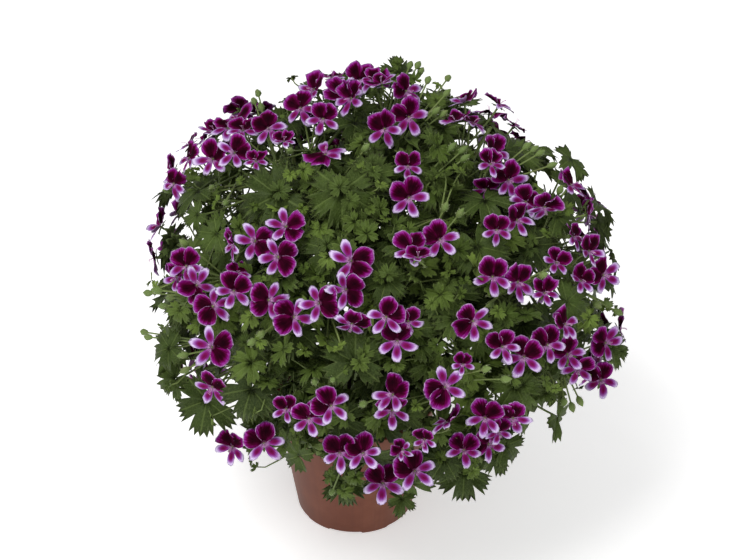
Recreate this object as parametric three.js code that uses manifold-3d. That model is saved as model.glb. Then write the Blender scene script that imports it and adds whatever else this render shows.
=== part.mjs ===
// Potted angel pelargonium: a round bush in flower in a plastic nursery pot.
//
// Millimetres, +Z up. The origin is the middle of the pot's underside, which stands on z = 0.
// The side that the photograph shows is -Y. Flowers that it shows are placed by the pixel of
// their throat, on the line of sight through that pixel, where it meets the canopy.

import * as THREE from 'three';
import { mergeVertices } from 'three/addons/utils/BufferGeometryUtils.js';
import Module from 'manifold-3d';

const wasm = await Module();
wasm.setup();

// Driving dimensions, in millimetres and degrees

const potHeight = 108;
const potRimRadius = 65;
const potBaseRadius = 46;
const potWall = 1.8;
const potFloor = 2.4;
const rimBandHeight = 13;
const rimBandDepth = 2.2;
const potSides = 32;
const drainHoles = 6;
const drainRadius = 4;
const drainCircle = 26;
const footNotchWidth = 26;
const footNotchHeight = 2;
const footNotchTurn = -100;
const floorRaise = 2.2;
const soilGap = 0.4;

const soilTop = 97;
const soilDome = 3;
const stemHoleRadius = 3.6;
const stemHoleFloor = 72;

const canopyCentre = vec(21.5, 0, 213);
const canopyHalf = vec(183, 176, 149);

const stemRadius = 2.5;
const stemSteps = 9;
const stemHeadroom = 12;
const flowerStalkRadius = 1.3;
const flowerStalkArch = 0.12;
const shortStalkRadius = 0.65;
const leafStalkRadius = 0.85;
const umbelKnobRadius = 2.5;
const knobUnderFlowers = 22;
const knobBehindFlowers = 12;
const flowerWidth = 29;
const flowerThroat = 1.2;
const flowerTube = 3;
const flowerTubeRadius = 0.9;
const flowerBend = 4.5;
const leafLength = 31;
const leafThroat = 0.6;
const leafUnder = 0.9;
const leafBend = 5;
const budLength = 9.5;
const budRadius = 2;
const clearance = 0.32;

// The view of the photograph: degrees below level, distance and sight point in millimetres,
// focal length and frame centre in pixels

const viewTilt = THREE.MathUtils.degToRad(35);
const viewDistance = 1700;
const viewPoint = vec(15.7, 0, 212.8);
const focalPixels = 2257;
const frameCentre = [375, 280];

const lookAlong = vec(0, Math.cos(viewTilt), -Math.sin(viewTilt));
const lookRight = vec(1, 0, 0);
const lookUp = vec(0, Math.sin(viewTilt), Math.cos(viewTilt));
const eye = viewPoint.clone().addScaledVector(lookAlong, -viewDistance);

// Heads of bloom that the photograph shows. Each flower is the pixel column and row of its
// throat, the turn of its dark petals (0 to the right, 90 up), how far it faces right and up
// (0, 0 looks at the camera), and its width beside an ordinary flower's. Each bud is the
// pixel column and row of its middle.

const seenHeads = {
  crown_left: {
    flowers: [[268, 128, 120, -0.1, 0.3, 1], [243, 129, 90, -0.1, 0.8, 1], [284, 140, 90, 0.1, 0.8, 0.7]],
    buds: [[258, 93], [254, 101], [261, 107]],
  },
  crown_far_left: {
    flowers: [[228, 127, 90, 0, 0.8, 1], [214, 130, 90, -0.2, 0.9, 0.9], [234, 152, 35, -0.2, 0.3, 1],
      [202, 140, 90, -0.7, 0.7, 0.9]],
    buds: [[212, 188], [226, 203]],
  },
  shoulder_left: {
    flowers: [[212, 159, 65, -0.4, 0.1, 1], [188, 158, 60, -0.8, 0.3, 1], [172, 171, 90, -0.95, 0.2, 1],
      [173, 184, 80, -0.6, -0.1, 0.9], [188, 144, 90, -0.7, 0.7, 0.8]],
    buds: [[168, 190]],
  },
  top_left: {
    flowers: [[300, 108, 110, -0.2, 0.2, 1], [313, 89, 60, -0.6, 0.5, 1], [323, 119, 78, 0, 0.1, 0.92],
      [256, 160, 90, -0.1, 0.6, 0.7]],
    buds: [[290, 151]],
  },
  top_middle: {
    flowers: [[333, 76, 90, 0, 0.97, 0.85], [343, 92, 170, -0.2, 0.4, 1], [350, 98, 85, -0.7, 0.2, 1],
      [360, 80, 90, 0, 0.3, 1]],
    buds: [[355, 125], [362, 133]],
  },
  top_right: {
    flowers: [[373, 79, 70, -0.3, 0.7, 0.9], [381, 82, 120, -0.3, 0.9, 0.9], [407, 91, 150, 0.5, 0.2, 1]],
    buds: [[410, 65], [418, 65], [421, 71]],
  },
  crown_middle: {
    flowers: [[409, 117, 122, 0, 0.1, 1.05], [384, 129, 108, -0.4, 0, 1]],
    buds: [[428, 80], [448, 78], [447, 93], [436, 111], [443, 114]],
  },
  crown_flat: {
    flowers: [[325, 153, 230, -0.2, 0.8, 1.15]],
    buds: [[366, 148]],
  },
  upper_middle: {
    flowers: [[408, 166, 90, 0, 0.3, 0.8], [409, 198, 110, 0, 0, 1.08]],
    buds: [[452, 147], [463, 150], [465, 158]],
  },
  top_far_right: {
    flowers: [[463, 101, 90, -0.4, 0.9, 0.9], [500, 104, 90, 0.5, 0.85, 0.9], [455, 120, 90, -0.3, 0.9, 0.9],
      [474, 122, 90, 0.45, 0.85, 0.9]],
    buds: [],
  },
  shoulder_right: {
    flowers: [[495, 152, 100, 0.7, 0.3, 1], [509, 180, 115, 0.3, 0, 1], [491, 163, 90, 0.2, 0.5, 0.8],
      [486, 190, 90, 0, -0.6, 0.85]],
    buds: [[527, 146], [534, 149], [540, 153], [552, 165]],
  },
  right_upper: {
    flowers: [[526, 202, 60, 0.2, 0.1, 0.9], [545, 208, 90, 0.3, -0.7, 1], [518, 220, 120, 0.5, 0, 0.9],
      [497, 230, 93, 0, 0, 0.82]],
    buds: [[540, 200]],
  },
  right_edge: {
    flowers: [[572, 184, 120, 0.6, 0.6, 0.95], [589, 215, 60, 1, 0.05, 1], [575, 236, 90, 0.8, 0.3, 0.8]],
    buds: [[560, 190]],
  },
  right_side: {
    flowers: [[590, 251, 90, 0.6, 0.2, 0.9], [604, 275, 155, 0.4, 0, 1], [582, 280, 60, 0.5, 0.3, 0.8]],
    buds: [[597, 305], [608, 304], [618, 312], [609, 327]],
  },
  right_middle: {
    flowers: [[493, 277, 88, 0, 0, 1], [519, 282, 90, 0.6, 0, 1], [545, 292, 90, 0.3, 0.5, 0.8],
      [557, 262, 60, 0.3, 0.4, 0.8]],
    buds: [[543, 275], [478, 314], [490, 305]],
  },
  middle_right: {
    flowers: [[440, 240, 130, 0, 0, 1], [411, 248, 97, 0, 0.4, 1], [418, 256, 90, 0, 0.9, 0.8]],
    buds: [[445, 207], [460, 213]],
  },
  middle_left: {
    flowers: [[286, 226, 345, 0, 0.4, 1], [255, 241, 355, 0, 0.1, 1], [278, 257, 0, 0, 0, 1]],
    buds: [],
  },
  centre: {
    flowers: [[351, 261, 345, 0, 0.1, 1.12], [346, 290, 0, 0, -0.2, 1], [319, 303, 10, 0, 0.1, 1]],
    buds: [],
  },
  left_edge: {
    flowers: [[232, 245, 80, -0.95, 0, 0.9], [186, 266, 92, -0.3, 0.1, 1], [197, 285, 235, 0, 0.1, 1],
      [176, 277, 90, -0.7, 0, 0.8]],
    buds: [[184, 243]],
  },
  left_middle: {
    flowers: [[213, 306, 205, 0, 0.1, 1], [234, 291, 70, 0, 0.1, 1], [238, 272, 90, 0.1, 0.6, 0.7]],
    buds: [[148, 293], [157, 290], [163, 306], [170, 298]],
  },
  left_inner: {
    flowers: [[269, 300, 180, 0, 0.1, 1], [294, 317, 172, 0, 0, 1.05]],
    buds: [[252, 342], [261, 334]],
  },
  left_lower: {
    flowers: [[212, 347, 345, 0, 0, 1.14]],
    buds: [[144, 332], [148, 337], [183, 355], [185, 370]],
  },
  left_skirt: {
    flowers: [[212, 388, 60, -0.3, -0.5, 1]],
    buds: [],
  },
  centre_low: {
    flowers: [[352, 325, 60, 0, -0.8, 1], [386, 317, 50, 0, 0.1, 1], [408, 322, 95, 0, -0.4, 0.8],
      [397, 341, 90, 0, 0, 1.03]],
    buds: [],
  },
  front_middle: {
    flowers: [[392, 394, 55, -0.4, 0.3, 1], [392, 411, 90, 0, -0.4, 1]],
    buds: [[363, 404]],
  },
  front_left: {
    flowers: [[331, 406, 145, 0, 0, 1], [309, 419, 100, 0, -0.2, 1], [286, 409, 95, -0.3, 0, 0.75]],
    buds: [[315, 382], [322, 390], [333, 380]],
  },
  front_skirt: {
    flowers: [[340, 453, 100, 0, 0, 1], [363, 453, 115, 0, 0.1, 1]],
    buds: [[332, 492]],
  },
  front_low: {
    flowers: [[383, 483, 92, 0, 0, 1.12], [415, 471, 135, 0, 0, 1.12], [402, 450, 150, -0.3, -0.2, 0.6],
      [424, 440, 90, -0.3, -0.4, 0.7], [446, 421, 60, -0.5, 0.8, 0.95]],
    buds: [],
  },
  front_right: {
    flowers: [[445, 387, 220, 0, 0, 1.1]],
    buds: [[486, 369], [506, 379]],
  },
  middle_low_right: {
    flowers: [[473, 322, 165, 0, -0.3, 1], [463, 364, 90, 0, 0.2, 0.6]],
    buds: [],
  },
  right_low: {
    flowers: [[503, 346, 110, 0.1, 0.3, 0.9], [524, 357, 70, 0, 0, 1.1], [548, 345, 110, 0.3, 0, 1],
      [566, 324, 145, 0.6, 0.3, 0.9]],
    buds: [],
  },
  right_skirt: {
    flowers: [[568, 354, 125, 0.1, 0.1, 0.95], [578, 369, 75, 0.1, -0.3, 0.95], [606, 343, 170, 0.4, 0, 1],
      [601, 380, 105, 0, 0, 1]],
    buds: [[564, 402], [572, 407], [580, 401]],
  },
  low_right: {
    flowers: [[485, 418, 80, 0, 0, 1], [513, 419, 100, 0, -0.5, 1], [499, 432, 90, 0.3, -0.4, 0.8]],
    buds: [],
  },
  low_right_skirt: {
    flowers: [[464, 450, 90, 0, 0, 0.95], [489, 444, 160, 0.3, 0, 0.95]],
    buds: [],
  },
  low_left: {
    flowers: [[232, 447, 80, -0.4, -0.2, 1], [264, 443, 120, 0, 0, 1.08]],
    buds: [],
  },
};

// Leaves that the photograph shows plainly: pixel column and row of the blade's middle, the
// turn of its tip, how far it faces right and up, and its length beside an ordinary leaf's

const seenLeaves = [
  [397, 68, 100, 0.2, 0.3, 0.75], [193, 218, 200, -0.5, 0.2, 0.6], [212, 240, 230, -0.3, 0.2, 0.75],
  [163, 350, 190, -0.4, 0.1, 0.8], [170, 383, 210, -0.4, 0.1, 0.8], [205, 412, 260, -0.1, 0.1, 1.15],
  [464, 481, 270, 0.1, -0.1, 1.05], [440, 466, 240, 0, 0, 0.8], [498, 460, 300, 0.2, 0, 0.7],
  [510, 450, 320, 0.3, 0.1, 0.7], [355, 350, 90, 0, 0.2, 1.2], [390, 437, 270, 0, 0.1, 1.2],
  [342, 205, 270, 0, 0.1, 1.3], [520, 395, 300, 0.2, 0, 1.1], [577, 265, 330, 0.5, 0.2, 0.95],
  [574, 306, 340, 0.5, 0.1, 0.95], [617, 350, 350, 0.6, 0.2, 0.8], [345, 490, 280, 0, -0.1, 0.9],
  [401, 504, 260, 0, 0, 0.6], [248, 400, 250, -0.2, 0.1, 1.1], [265, 200, 200, -0.1, 0.4, 1.3],
  [375, 167, 80, 0, 0.4, 0.9], [507, 145, 60, 0.4, 0.4, 0.8], [563, 215, 20, 0.5, 0.3, 0.9],
];

// Stems: those of each ring end on the canopy at one angle from the top, as a share of the
// canopy's size, and rise from a circle in the soil

const stemMarks = 10;
const firstMark = 0.42;
const lastMark = 0.99;
const stemRings = [
  { count: 5, fromTop: 36, reach: 0.62, first: 20, soilCircle: 15 },
  { count: 7, fromTop: 88, reach: 0.6, first: 12, soilCircle: 36 },
];

// Blooms of the side that the photograph hides, and the leaves over the whole canopy, spread
// evenly by the golden angle

const goldenTurn = 2.399963;
const hiddenHeads = 28;
const hiddenFlowersEach = 5;
const hiddenHeadRadius = 21;
const leafPlaces = 150;
const canopyHem = 128;
const leafSpacing = 0.62;

// Vectors and seeded draws

function vec(x, y, z) {
  return new THREE.Vector3(x, y, z);
}

function between(a, b, share) {
  return a.clone().lerp(b, share);
}

function across(v, normal) {
  return v.clone().addScaledVector(normal, -v.dot(normal)).normalize();
}

let drawState = 20613;

function draw(low, high) {
  drawState = (drawState * 1664525 + 1013904223) % 4294967296;
  return low + (high - low) * drawState / 4294967296;
}

// The canopy: a point at a share of its size in a direction, and its outward normal

function canopyPoint(direction, share) {
  return direction.clone().multiply(canopyHalf).multiplyScalar(share).add(canopyCentre);
}

function canopyNormal(point) {
  return point.clone().sub(canopyCentre).divide(canopyHalf).divide(canopyHalf).normalize();
}

function direction(fromTop, turn) {
  const polar = THREE.MathUtils.degToRad(fromTop);
  const azimuth = THREE.MathUtils.degToRad(turn);
  return vec(Math.sin(polar) * Math.cos(azimuth), Math.sin(polar) * Math.sin(azimuth), Math.cos(polar));
}

// The line of sight through a pixel, and where it first meets the canopy, or passes it closest

function sightLine(column, row) {
  return lookAlong.clone()
    .addScaledVector(lookRight, (column - frameCentre[0]) / focalPixels)
    .addScaledVector(lookUp, (frameCentre[1] - row) / focalPixels)
    .normalize();
}

function seenPoint(column, row, share) {
  const sight = sightLine(column, row);
  const from = eye.clone().sub(canopyCentre).divide(canopyHalf);
  const along = sight.clone().divide(canopyHalf);
  const a = along.dot(along);
  const b = from.dot(along);
  const c = from.dot(from) - share * share;
  const reach = (-b - Math.sqrt(Math.max(b * b - a * c, 0))) / a;
  return eye.clone().addScaledVector(sight, reach);
}

// How a blade that is seen in the photograph lies: its normal, and its up or tip direction

function seenFrame(turn, right, upward) {
  const angle = THREE.MathUtils.degToRad(turn);
  const toEye = Math.sqrt(Math.max(1 - right * right - upward * upward, 0));
  const normal = vec(0, 0, 0)
    .addScaledVector(lookRight, right)
    .addScaledVector(lookUp, upward)
    .addScaledVector(lookAlong, -toEye)
    .normalize();
  const turned = vec(0, 0, 0)
    .addScaledVector(lookRight, Math.cos(angle))
    .addScaledVector(lookUp, Math.sin(angle));
  return { normal, top: across(turned, normal) };
}

// Solids

function solidOf(points, faces) {
  const vertProperties = new Float32Array(points.flatMap((p) => [p.x, p.y, p.z]));
  const triVerts = new Uint32Array(faces.flat());
  return new wasm.Manifold(new wasm.Mesh({ numProp: 3, vertProperties, triVerts }));
}

function skinOf(geometry) {
  geometry.deleteAttribute('normal');
  geometry.deleteAttribute('uv');
  const merged = mergeVertices(geometry, 1e-4);
  const position = merged.attributes.position;
  const points = Array.from({ length: position.count }, (_, index) => vec(0, 0, 0).fromBufferAttribute(position, index));
  const faces = [];
  for (let corner = 0; corner < merged.index.count; corner += 3) {
    faces.push([0, 1, 2].map((step) => merged.index.getX(corner + step)));
  }
  return { points, faces };
}

function solidOfGeometry(geometry) {
  const { points, faces } = skinOf(geometry);
  return solidOf(points, faces);
}

function meshOf(solid, name, material) {
  const { vertProperties, triVerts } = solid.getMesh();
  const geometry = new THREE.BufferGeometry();
  geometry.setAttribute('position', new THREE.BufferAttribute(new Float32Array(vertProperties), 3));
  geometry.setIndex(new THREE.BufferAttribute(new Uint32Array(triVerts), 1));
  geometry.computeVertexNormals();
  const mesh = new THREE.Mesh(geometry, material);
  mesh.name = name;
  return mesh;
}

function tubeGeometry(path, radius, sides, steps) {
  const section = new THREE.Shape();
  for (let side = 0; side < sides; side += 1) {
    const turn = 2 * Math.PI * (side + 0.5) / sides;
    const x = radius * Math.cos(turn);
    const y = radius * Math.sin(turn);
    if (side === 0) section.moveTo(x, y);
    else section.lineTo(x, y);
  }
  section.closePath();
  const settings = { steps, extrudePath: path, bevelEnabled: false };
  return new THREE.ExtrudeGeometry(section, settings);
}

// The rings of a three-sided stalk, each turned least from the one before it

function stalkRings(centres, radii, firstSide, foot) {
  const points = [];
  let side = firstSide.clone();
  centres.forEach((centre, index) => {
    const from = centres[Math.max(index - 1, 0)];
    const to = index + 1 < centres.length ? centres[index + 1] : foot;
    const down = to.clone().sub(from).normalize();
    side = across(side, down);
    const third = side.clone().cross(down);
    for (let corner = 0; corner < 3; corner += 1) {
      const turn = 2 * Math.PI * corner / 3 + Math.PI / 2;
      points.push(centre.clone()
        .addScaledVector(side, radii[index] * Math.cos(turn))
        .addScaledVector(third, radii[index] * Math.sin(turn)));
    }
  });
  return points;
}

// A sprig is a crown on a three-sided stalk that ends on three given points. Its faces count
// the crown's points, then the rings', then the three ends, and leave the end open.

function sprigOf(crownPoints, crownFaces, rings, ends) {
  const first = crownPoints.length;
  const points = [...crownPoints, ...rings];
  const last = rings.slice(-3);
  const twist = [0, 1, 2].map((turn) => last.reduce((sum, point, corner) => (
    sum + point.distanceTo(ends[(corner + turn) % 3])), 0));
  const turn = twist.indexOf(Math.min(...twist));
  const order = [0, 1, 2].map((corner) => (corner + turn) % 3);
  const faces = crownFaces.map((face) => [...face]);
  for (let ring = 0; ring < rings.length / 3; ring += 1) {
    const upper = first + 3 * ring;
    const lower = upper + 3;
    for (let corner = 0; corner < 3; corner += 1) {
      const next = (corner + 1) % 3;
      faces.push([upper + next, upper + corner, lower + corner]);
      faces.push([upper + next, lower + corner, lower + next]);
    }
  }
  return { points, faces, ends: order.map((corner) => ends[corner]), order };
}

function closedSprig(sprig) {
  const first = sprig.points.length;
  return solidOf([...sprig.points, ...sprig.ends], [...sprig.faces, [first + 2, first + 1, first]]);
}

// The crown of a blade: the upper face is a fan from the throat to the rim, the under face
// runs from the rim to the stalk's first ring. The rim goes counterclockwise as the normal
// points at the eye; its entries are degrees from the top, share of the size, and height.

function bladeCrown(outline, frame, place, size, throatHeight) {
  const sideways = frame.normal.clone().cross(frame.top);
  const rim = outline.map(([degrees, share, height]) => {
    const angle = THREE.MathUtils.degToRad(degrees);
    return place.clone()
      .addScaledVector(sideways, Math.sin(angle) * share * size)
      .addScaledVector(frame.top, Math.cos(angle) * share * size)
      .addScaledVector(frame.normal, height * size);
  });
  const throat = place.clone().addScaledVector(frame.normal, throatHeight);
  const first = 1 + rim.length;
  const nearest = outline.map((entry, index) => {
    const after = outline[(index + 1) % outline.length];
    const wrap = index + 1 === outline.length ? 360 : 0;
    return Math.round((entry[0] + after[0] + wrap) / 2 / 120) % 3;
  });
  const faces = [];
  for (let index = 0; index < rim.length; index += 1) {
    const here = 1 + index;
    const next = 1 + (index + 1) % rim.length;
    const corner = first + nearest[index];
    const nextCorner = first + nearest[(index + 1) % rim.length];
    faces.push([0, here, next], [next, here, corner]);
    if (corner !== nextCorner) faces.push([next, corner, nextCorner]);
  }
  return { points: [throat, ...rim], faces, sideways };
}

// Outlines of the flower and the leaf

const flowerOutline = [
  [0, 0.84, 0.1], [24, 1.05, 0.16], [56, 1.02, 0.12], [84, 0.5, 0.05],
  [100, 0.92, 0.04], [126, 0.94, -0.02], [144, 0.42, 0.03], [168, 0.98, -0.02],
  [192, 0.98, -0.02], [216, 0.42, 0.03], [234, 0.94, -0.02], [260, 0.92, 0.04],
  [276, 0.5, 0.05], [304, 1.02, 0.12], [336, 1.05, 0.16],
];

// A leaf reaches further from its stalk to its tip than back to its base

const leafReach = leafLength / 1.45;
const leafOutline = [
  [0, 1, -0.1], [25, 0.7, 0.06], [49, 0.9, -0.08], [74, 0.6, 0.06], [99, 0.74, -0.08],
  [136, 0.52, 0], [180, 0.1, 0.02], [224, 0.52, 0], [261, 0.74, -0.08], [286, 0.6, 0.06],
  [311, 0.9, -0.08], [335, 0.7, 0.06],
];

// What is already placed, and whether a new solid is clear of all that grows elsewhere

const placed = [];

function keep(solid, node) {
  placed.push({ solid, node, box: solid.boundingBox() });
}

function boxesMeet(a, b) {
  return [0, 1, 2].every((axis) => a.min[axis] - clearance < b.max[axis]
    && b.min[axis] - clearance < a.max[axis]);
}

function isClear(solid, node) {
  const box = solid.boundingBox();
  return placed.every((other) => other.node === node || !boxesMeet(box, other.box)
    || solid.minGap(other.solid, clearance) > clearance * 0.97);
}

// Where a leaf stalk can grow out of a face: round the middle of the circle that fits in it

function growthSite(face, points) {
  const [a, b, c] = face.map((corner) => points[corner]);
  const sides = [b.distanceTo(c), c.distanceTo(a), a.distanceTo(b)];
  const round = sides[0] + sides[1] + sides[2];
  const centre = vec(0, 0, 0).addScaledVector(a, sides[0] / round).addScaledVector(b, sides[1] / round)
    .addScaledVector(c, sides[2] / round);
  const outward = b.clone().sub(a).cross(c.clone().sub(a)).normalize();
  const ends = [a, b, c].map((corner) => centre.clone()
    .addScaledVector(corner.clone().sub(centre).normalize(), leafStalkRadius));
  return { face, centre, outward, ends, used: false };
}

// Stems

const stems = [];

stemRings.forEach((ring) => {
  for (let index = 0; index < ring.count; index += 1) {
    const turn = ring.first + 360 * index / ring.count;
    const end = canopyPoint(direction(ring.fromTop, turn), ring.reach);
    const angle = THREE.MathUtils.degToRad(turn);
    const foot = vec(ring.soilCircle * Math.cos(angle), ring.soilCircle * Math.sin(angle), stemHoleFloor + clearance);
    const collar = vec(foot.x, foot.y, soilTop + soilDome + 2);
    const rise = vec(foot.x, foot.y, collar.z + 0.5 * (end.z - collar.z));
    const arch = vec(0.4 * foot.x + 0.6 * end.x, 0.4 * foot.y + 0.6 * end.y, end.z + (ring.fromTop > 60 ? 14 : -40));
    const path = new THREE.CurvePath();
    path.add(new THREE.LineCurve3(foot, collar));
    path.add(new THREE.CubicBezierCurve3(collar, rise, arch, end));
    const name = `leafy_stem_${String(stems.length + 1).padStart(2, '0')}`;
    const { points, faces } = skinOf(tubeGeometry(path, stemRadius, 4, stemSteps));
    const solid = solidOf(points, faces);
    const sleeve = solidOfGeometry(tubeGeometry(path, stemRadius + 1.5 * clearance, 4, stemSteps));
    const marks = [];
    for (let mark = 0; mark <= stemMarks; mark += 1) {
      marks.push(path.getPointAt(firstMark + (lastMark - firstMark) * mark / stemMarks));
    }
    const sites = [];
    const otherFaces = [];
    faces.forEach((face) => {
      const site = growthSite(face, points);
      if (site.centre.z > collar.z + stemHeadroom) sites.push(site);
      else otherFaces.push(face);
    });
    stems.push({ name, foot, sleeve, marks, points, sites, otherFaces, sprigs: [], solids: [solid] });
    keep(solid, name);
  }
});

// The places along the stems from which a stalk can grow to a point, nearest first

function growthPlaces(point, most) {
  const places = [];
  stems.forEach((stem) => stem.marks.forEach((mark) => {
    places.push({ stem, mark, far: mark.distanceTo(point) });
  }));
  places.sort((a, b) => a.far - b.far);
  return places.slice(0, most);
}

function growthSites(point, most) {
  const places = [];
  stems.forEach((stem) => stem.sites.forEach((site) => {
    const towards = point.clone().sub(site.centre);
    const far = towards.length();
    const faces = towards.dot(site.outward) > 0.25 * far;
    if (!site.used && faces && far > 9) places.push({ stem, site, far });
  }));
  places.sort((a, b) => a.far - b.far);
  return places.slice(0, most);
}

// The knob of a head, from whose faces the head's stalks grow

const { points: knobCorners, faces: knobFaces } = skinOf(new THREE.IcosahedronGeometry(1));

function newHead(name, joint) {
  const corners = knobCorners.map((corner) => corner.clone().multiplyScalar(umbelKnobRadius).add(joint));
  return { name, joint, corners, free: [...knobFaces], sprigs: [], solids: [] };
}

function freeFace(head, towards) {
  const aim = towards.clone().sub(head.joint).normalize();
  let best = null;
  let most = -2;
  head.free.forEach((face) => {
    const middle = face.reduce((sum, corner) => sum.add(knobCorners[corner]), vec(0, 0, 0)).normalize();
    const match = middle.dot(aim);
    if (match > most) {
      most = match;
      best = face;
    }
  });
  return best;
}

function endsOf(head, face) {
  return face.map((corner) => head.corners[corner]);
}

// A flower's stalk bends only where the flower looks well aside from its stalk

function flowerSprig(head, flower, place, knee) {
  const size = flowerWidth / 2 * flower.width;
  const normal = flower.frame.normal;
  const crown = bladeCrown(flowerOutline, flower.frame, place, size, -flowerThroat);
  const tube = place.clone().addScaledVector(normal, -flowerTube);
  const bend = tube.clone().addScaledVector(normal, -flowerBend).lerp(head.joint, 0.12).add(knee);
  const ahead = head.joint.clone().sub(tube).normalize().dot(normal);
  const bends = ahead > -0.75 || knee.length() > 0;
  const centres = bends ? [tube, bend] : [tube];
  const face = freeFace(head, centres[centres.length - 1]);
  const rings = stalkRings(centres, [flowerTubeRadius, shortStalkRadius], crown.sideways, head.joint);
  return { face, ...sprigOf(crown.points, crown.faces, rings, endsOf(head, face)) };
}

function budSprig(head, middle) {
  const along = middle.clone().sub(head.joint).normalize();
  const side = across(Math.abs(along.z) < 0.9 ? vec(0, 0, 1) : vec(1, 0, 0), along);
  const tip = middle.clone().addScaledVector(along, budLength / 2);
  const neck = middle.clone().addScaledVector(along, -budLength / 2);
  const face = freeFace(head, middle);
  const rings = stalkRings([middle, neck], [budRadius, shortStalkRadius], side, head.joint);
  return { face, ...sprigOf([tip], [[0, 1, 2], [0, 2, 3], [0, 3, 1]], rings, endsOf(head, face)) };
}

// The flower stalk runs from inside its stem to the knob, and stops short of the stem's skin

function stalkSprig(head, mark) {
  const far = mark.distanceTo(head.joint);
  const arch = between(mark, head.joint, 0.5).add(vec(0, 0, flowerStalkArch * far));
  const path = new THREE.QuadraticBezierCurve3(mark, arch, head.joint);
  const centres = [0, 0.3, 0.62].map((share) => path.getPoint(share));
  const along = centres[1].clone().sub(mark).normalize();
  const side = across(Math.abs(along.z) < 0.9 ? vec(0, 0, 1) : vec(1, 0, 0), along);
  const face = freeFace(head, centres[2]);
  const rings = stalkRings(centres, centres.map(() => flowerStalkRadius), side, head.joint);
  return { face, ...sprigOf([], [[0, 1, 2]], rings, endsOf(head, face)) };
}

// Heads of bloom: each flower and bud moves along the line of sight, or bends its stalk, until
// it is clear of what grows from other stems and of the rest of its head, and is left out only
// where nothing clears it

const sightShifts = [0, -5, 5, -10, 10, -15, 15, -20, 20, -26, 26, 32, 38];
const kneeShifts = [vec(0, 0, 0), vec(5, 0, 0), vec(-5, 0, 0), vec(0, 5, 0), vec(0, -5, 0), vec(0, 0, -5), vec(0, 0, 5),
  vec(9, 0, -4), vec(-9, 0, -4), vec(0, 9, -4), vec(0, -9, -4)];
const jointShifts = [0, 5, -5, 10, -10, 16];
const heads = [];

function isClearOfHead(solid, head) {
  return head.solids.every((other) => solid.intersect(other).volume() < 1e-4);
}

function addSprig(head, sprig) {
  const solid = closedSprig(sprig);
  if (solid.status() !== 'NoError' || !isClear(solid, head.name) || !isClearOfHead(solid, head)) return false;
  head.sprigs.push(sprig);
  head.solids.push(solid);
  head.free = head.free.filter((face) => face !== sprig.face);
  keep(solid, head.name);
  return true;
}

function startHead(name, middle, inward, facing) {
  for (const jointShift of jointShifts) {
    const joint = middle.clone().addScaledVector(inward, knobUnderFlowers + jointShift)
      .addScaledVector(facing, -knobBehindFlowers);
    const head = newHead(name, joint);
    const knob = solidOf(head.corners, knobFaces);
    if (!isClear(knob, name)) continue;
    for (const { stem, mark } of growthPlaces(joint, 30)) {
      const sprig = stalkSprig(head, mark);
      const solid = closedSprig(sprig).subtract(stem.sleeve);
      const whole = solid.decompose().sort((a, b) => b.volume() - a.volume())[0];
      if (whole && isClear(whole, name)) {
        head.sprigs.push(sprig);
        head.solids.push(whole);
        head.free = head.free.filter((face) => face !== sprig.face);
        head.sleeve = stem.sleeve;
        keep(whole, name);
        keep(knob, name);
        return head;
      }
    }
  }
  return null;
}

function growHead(name, flowers, buds) {
  const middle = vec(0, 0, 0);
  const facing = vec(0, 0, 0);
  flowers.forEach((flower) => {
    middle.addScaledVector(flower.place, 1 / flowers.length);
    facing.add(flower.frame.normal);
  });
  const inward = vec(canopyCentre.x / 2, 0, 150).sub(middle).normalize();
  const head = startHead(name, middle, inward, facing.normalize());
  if (!head) return;
  flowers.forEach((flower) => {
    for (const knee of kneeShifts) {
      for (const shift of sightShifts) {
        const place = flower.place.clone().addScaledVector(flower.sight, shift);
        if (addSprig(head, flowerSprig(head, flower, place, knee))) return;
      }
    }
  });
  buds.forEach((bud) => {
    for (const shift of sightShifts) {
      const middleOfBud = bud.place.clone().addScaledVector(bud.sight, shift);
      if (addSprig(head, budSprig(head, middleOfBud))) return;
    }
  });
  heads.push(head);
}

// The sprigs and the knob's free faces make one closed skin, whose root is cut at its stem

function headSolid(head) {
  const points = [...head.corners];
  const faces = [...head.free];
  head.sprigs.forEach((sprig) => {
    const first = points.length;
    points.push(...sprig.points);
    const index = (corner) => (corner < sprig.points.length
      ? first + corner
      : sprig.face[sprig.order[corner - sprig.points.length]]);
    sprig.faces.forEach((face) => faces.push(face.map(index)));
  });
  const whole = solidOf(points, faces).subtract(head.sleeve);
  return whole.decompose().sort((a, b) => b.volume() - a.volume())[0];
}

Object.entries(seenHeads).forEach(([name, head]) => {
  const flowers = head.flowers.map(([column, row, turn, right, upward, width]) => ({
    place: seenPoint(column, row, 1),
    sight: sightLine(column, row),
    frame: seenFrame(turn, right, upward),
    width,
  }));
  const buds = head.buds.map(([column, row]) => ({
    place: seenPoint(column, row, 1),
    sight: sightLine(column, row),
  }));
  growHead(`bloom_${name}`, flowers, buds);
});

// Heads on the hidden side, each a ring of flowers round its middle

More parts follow.
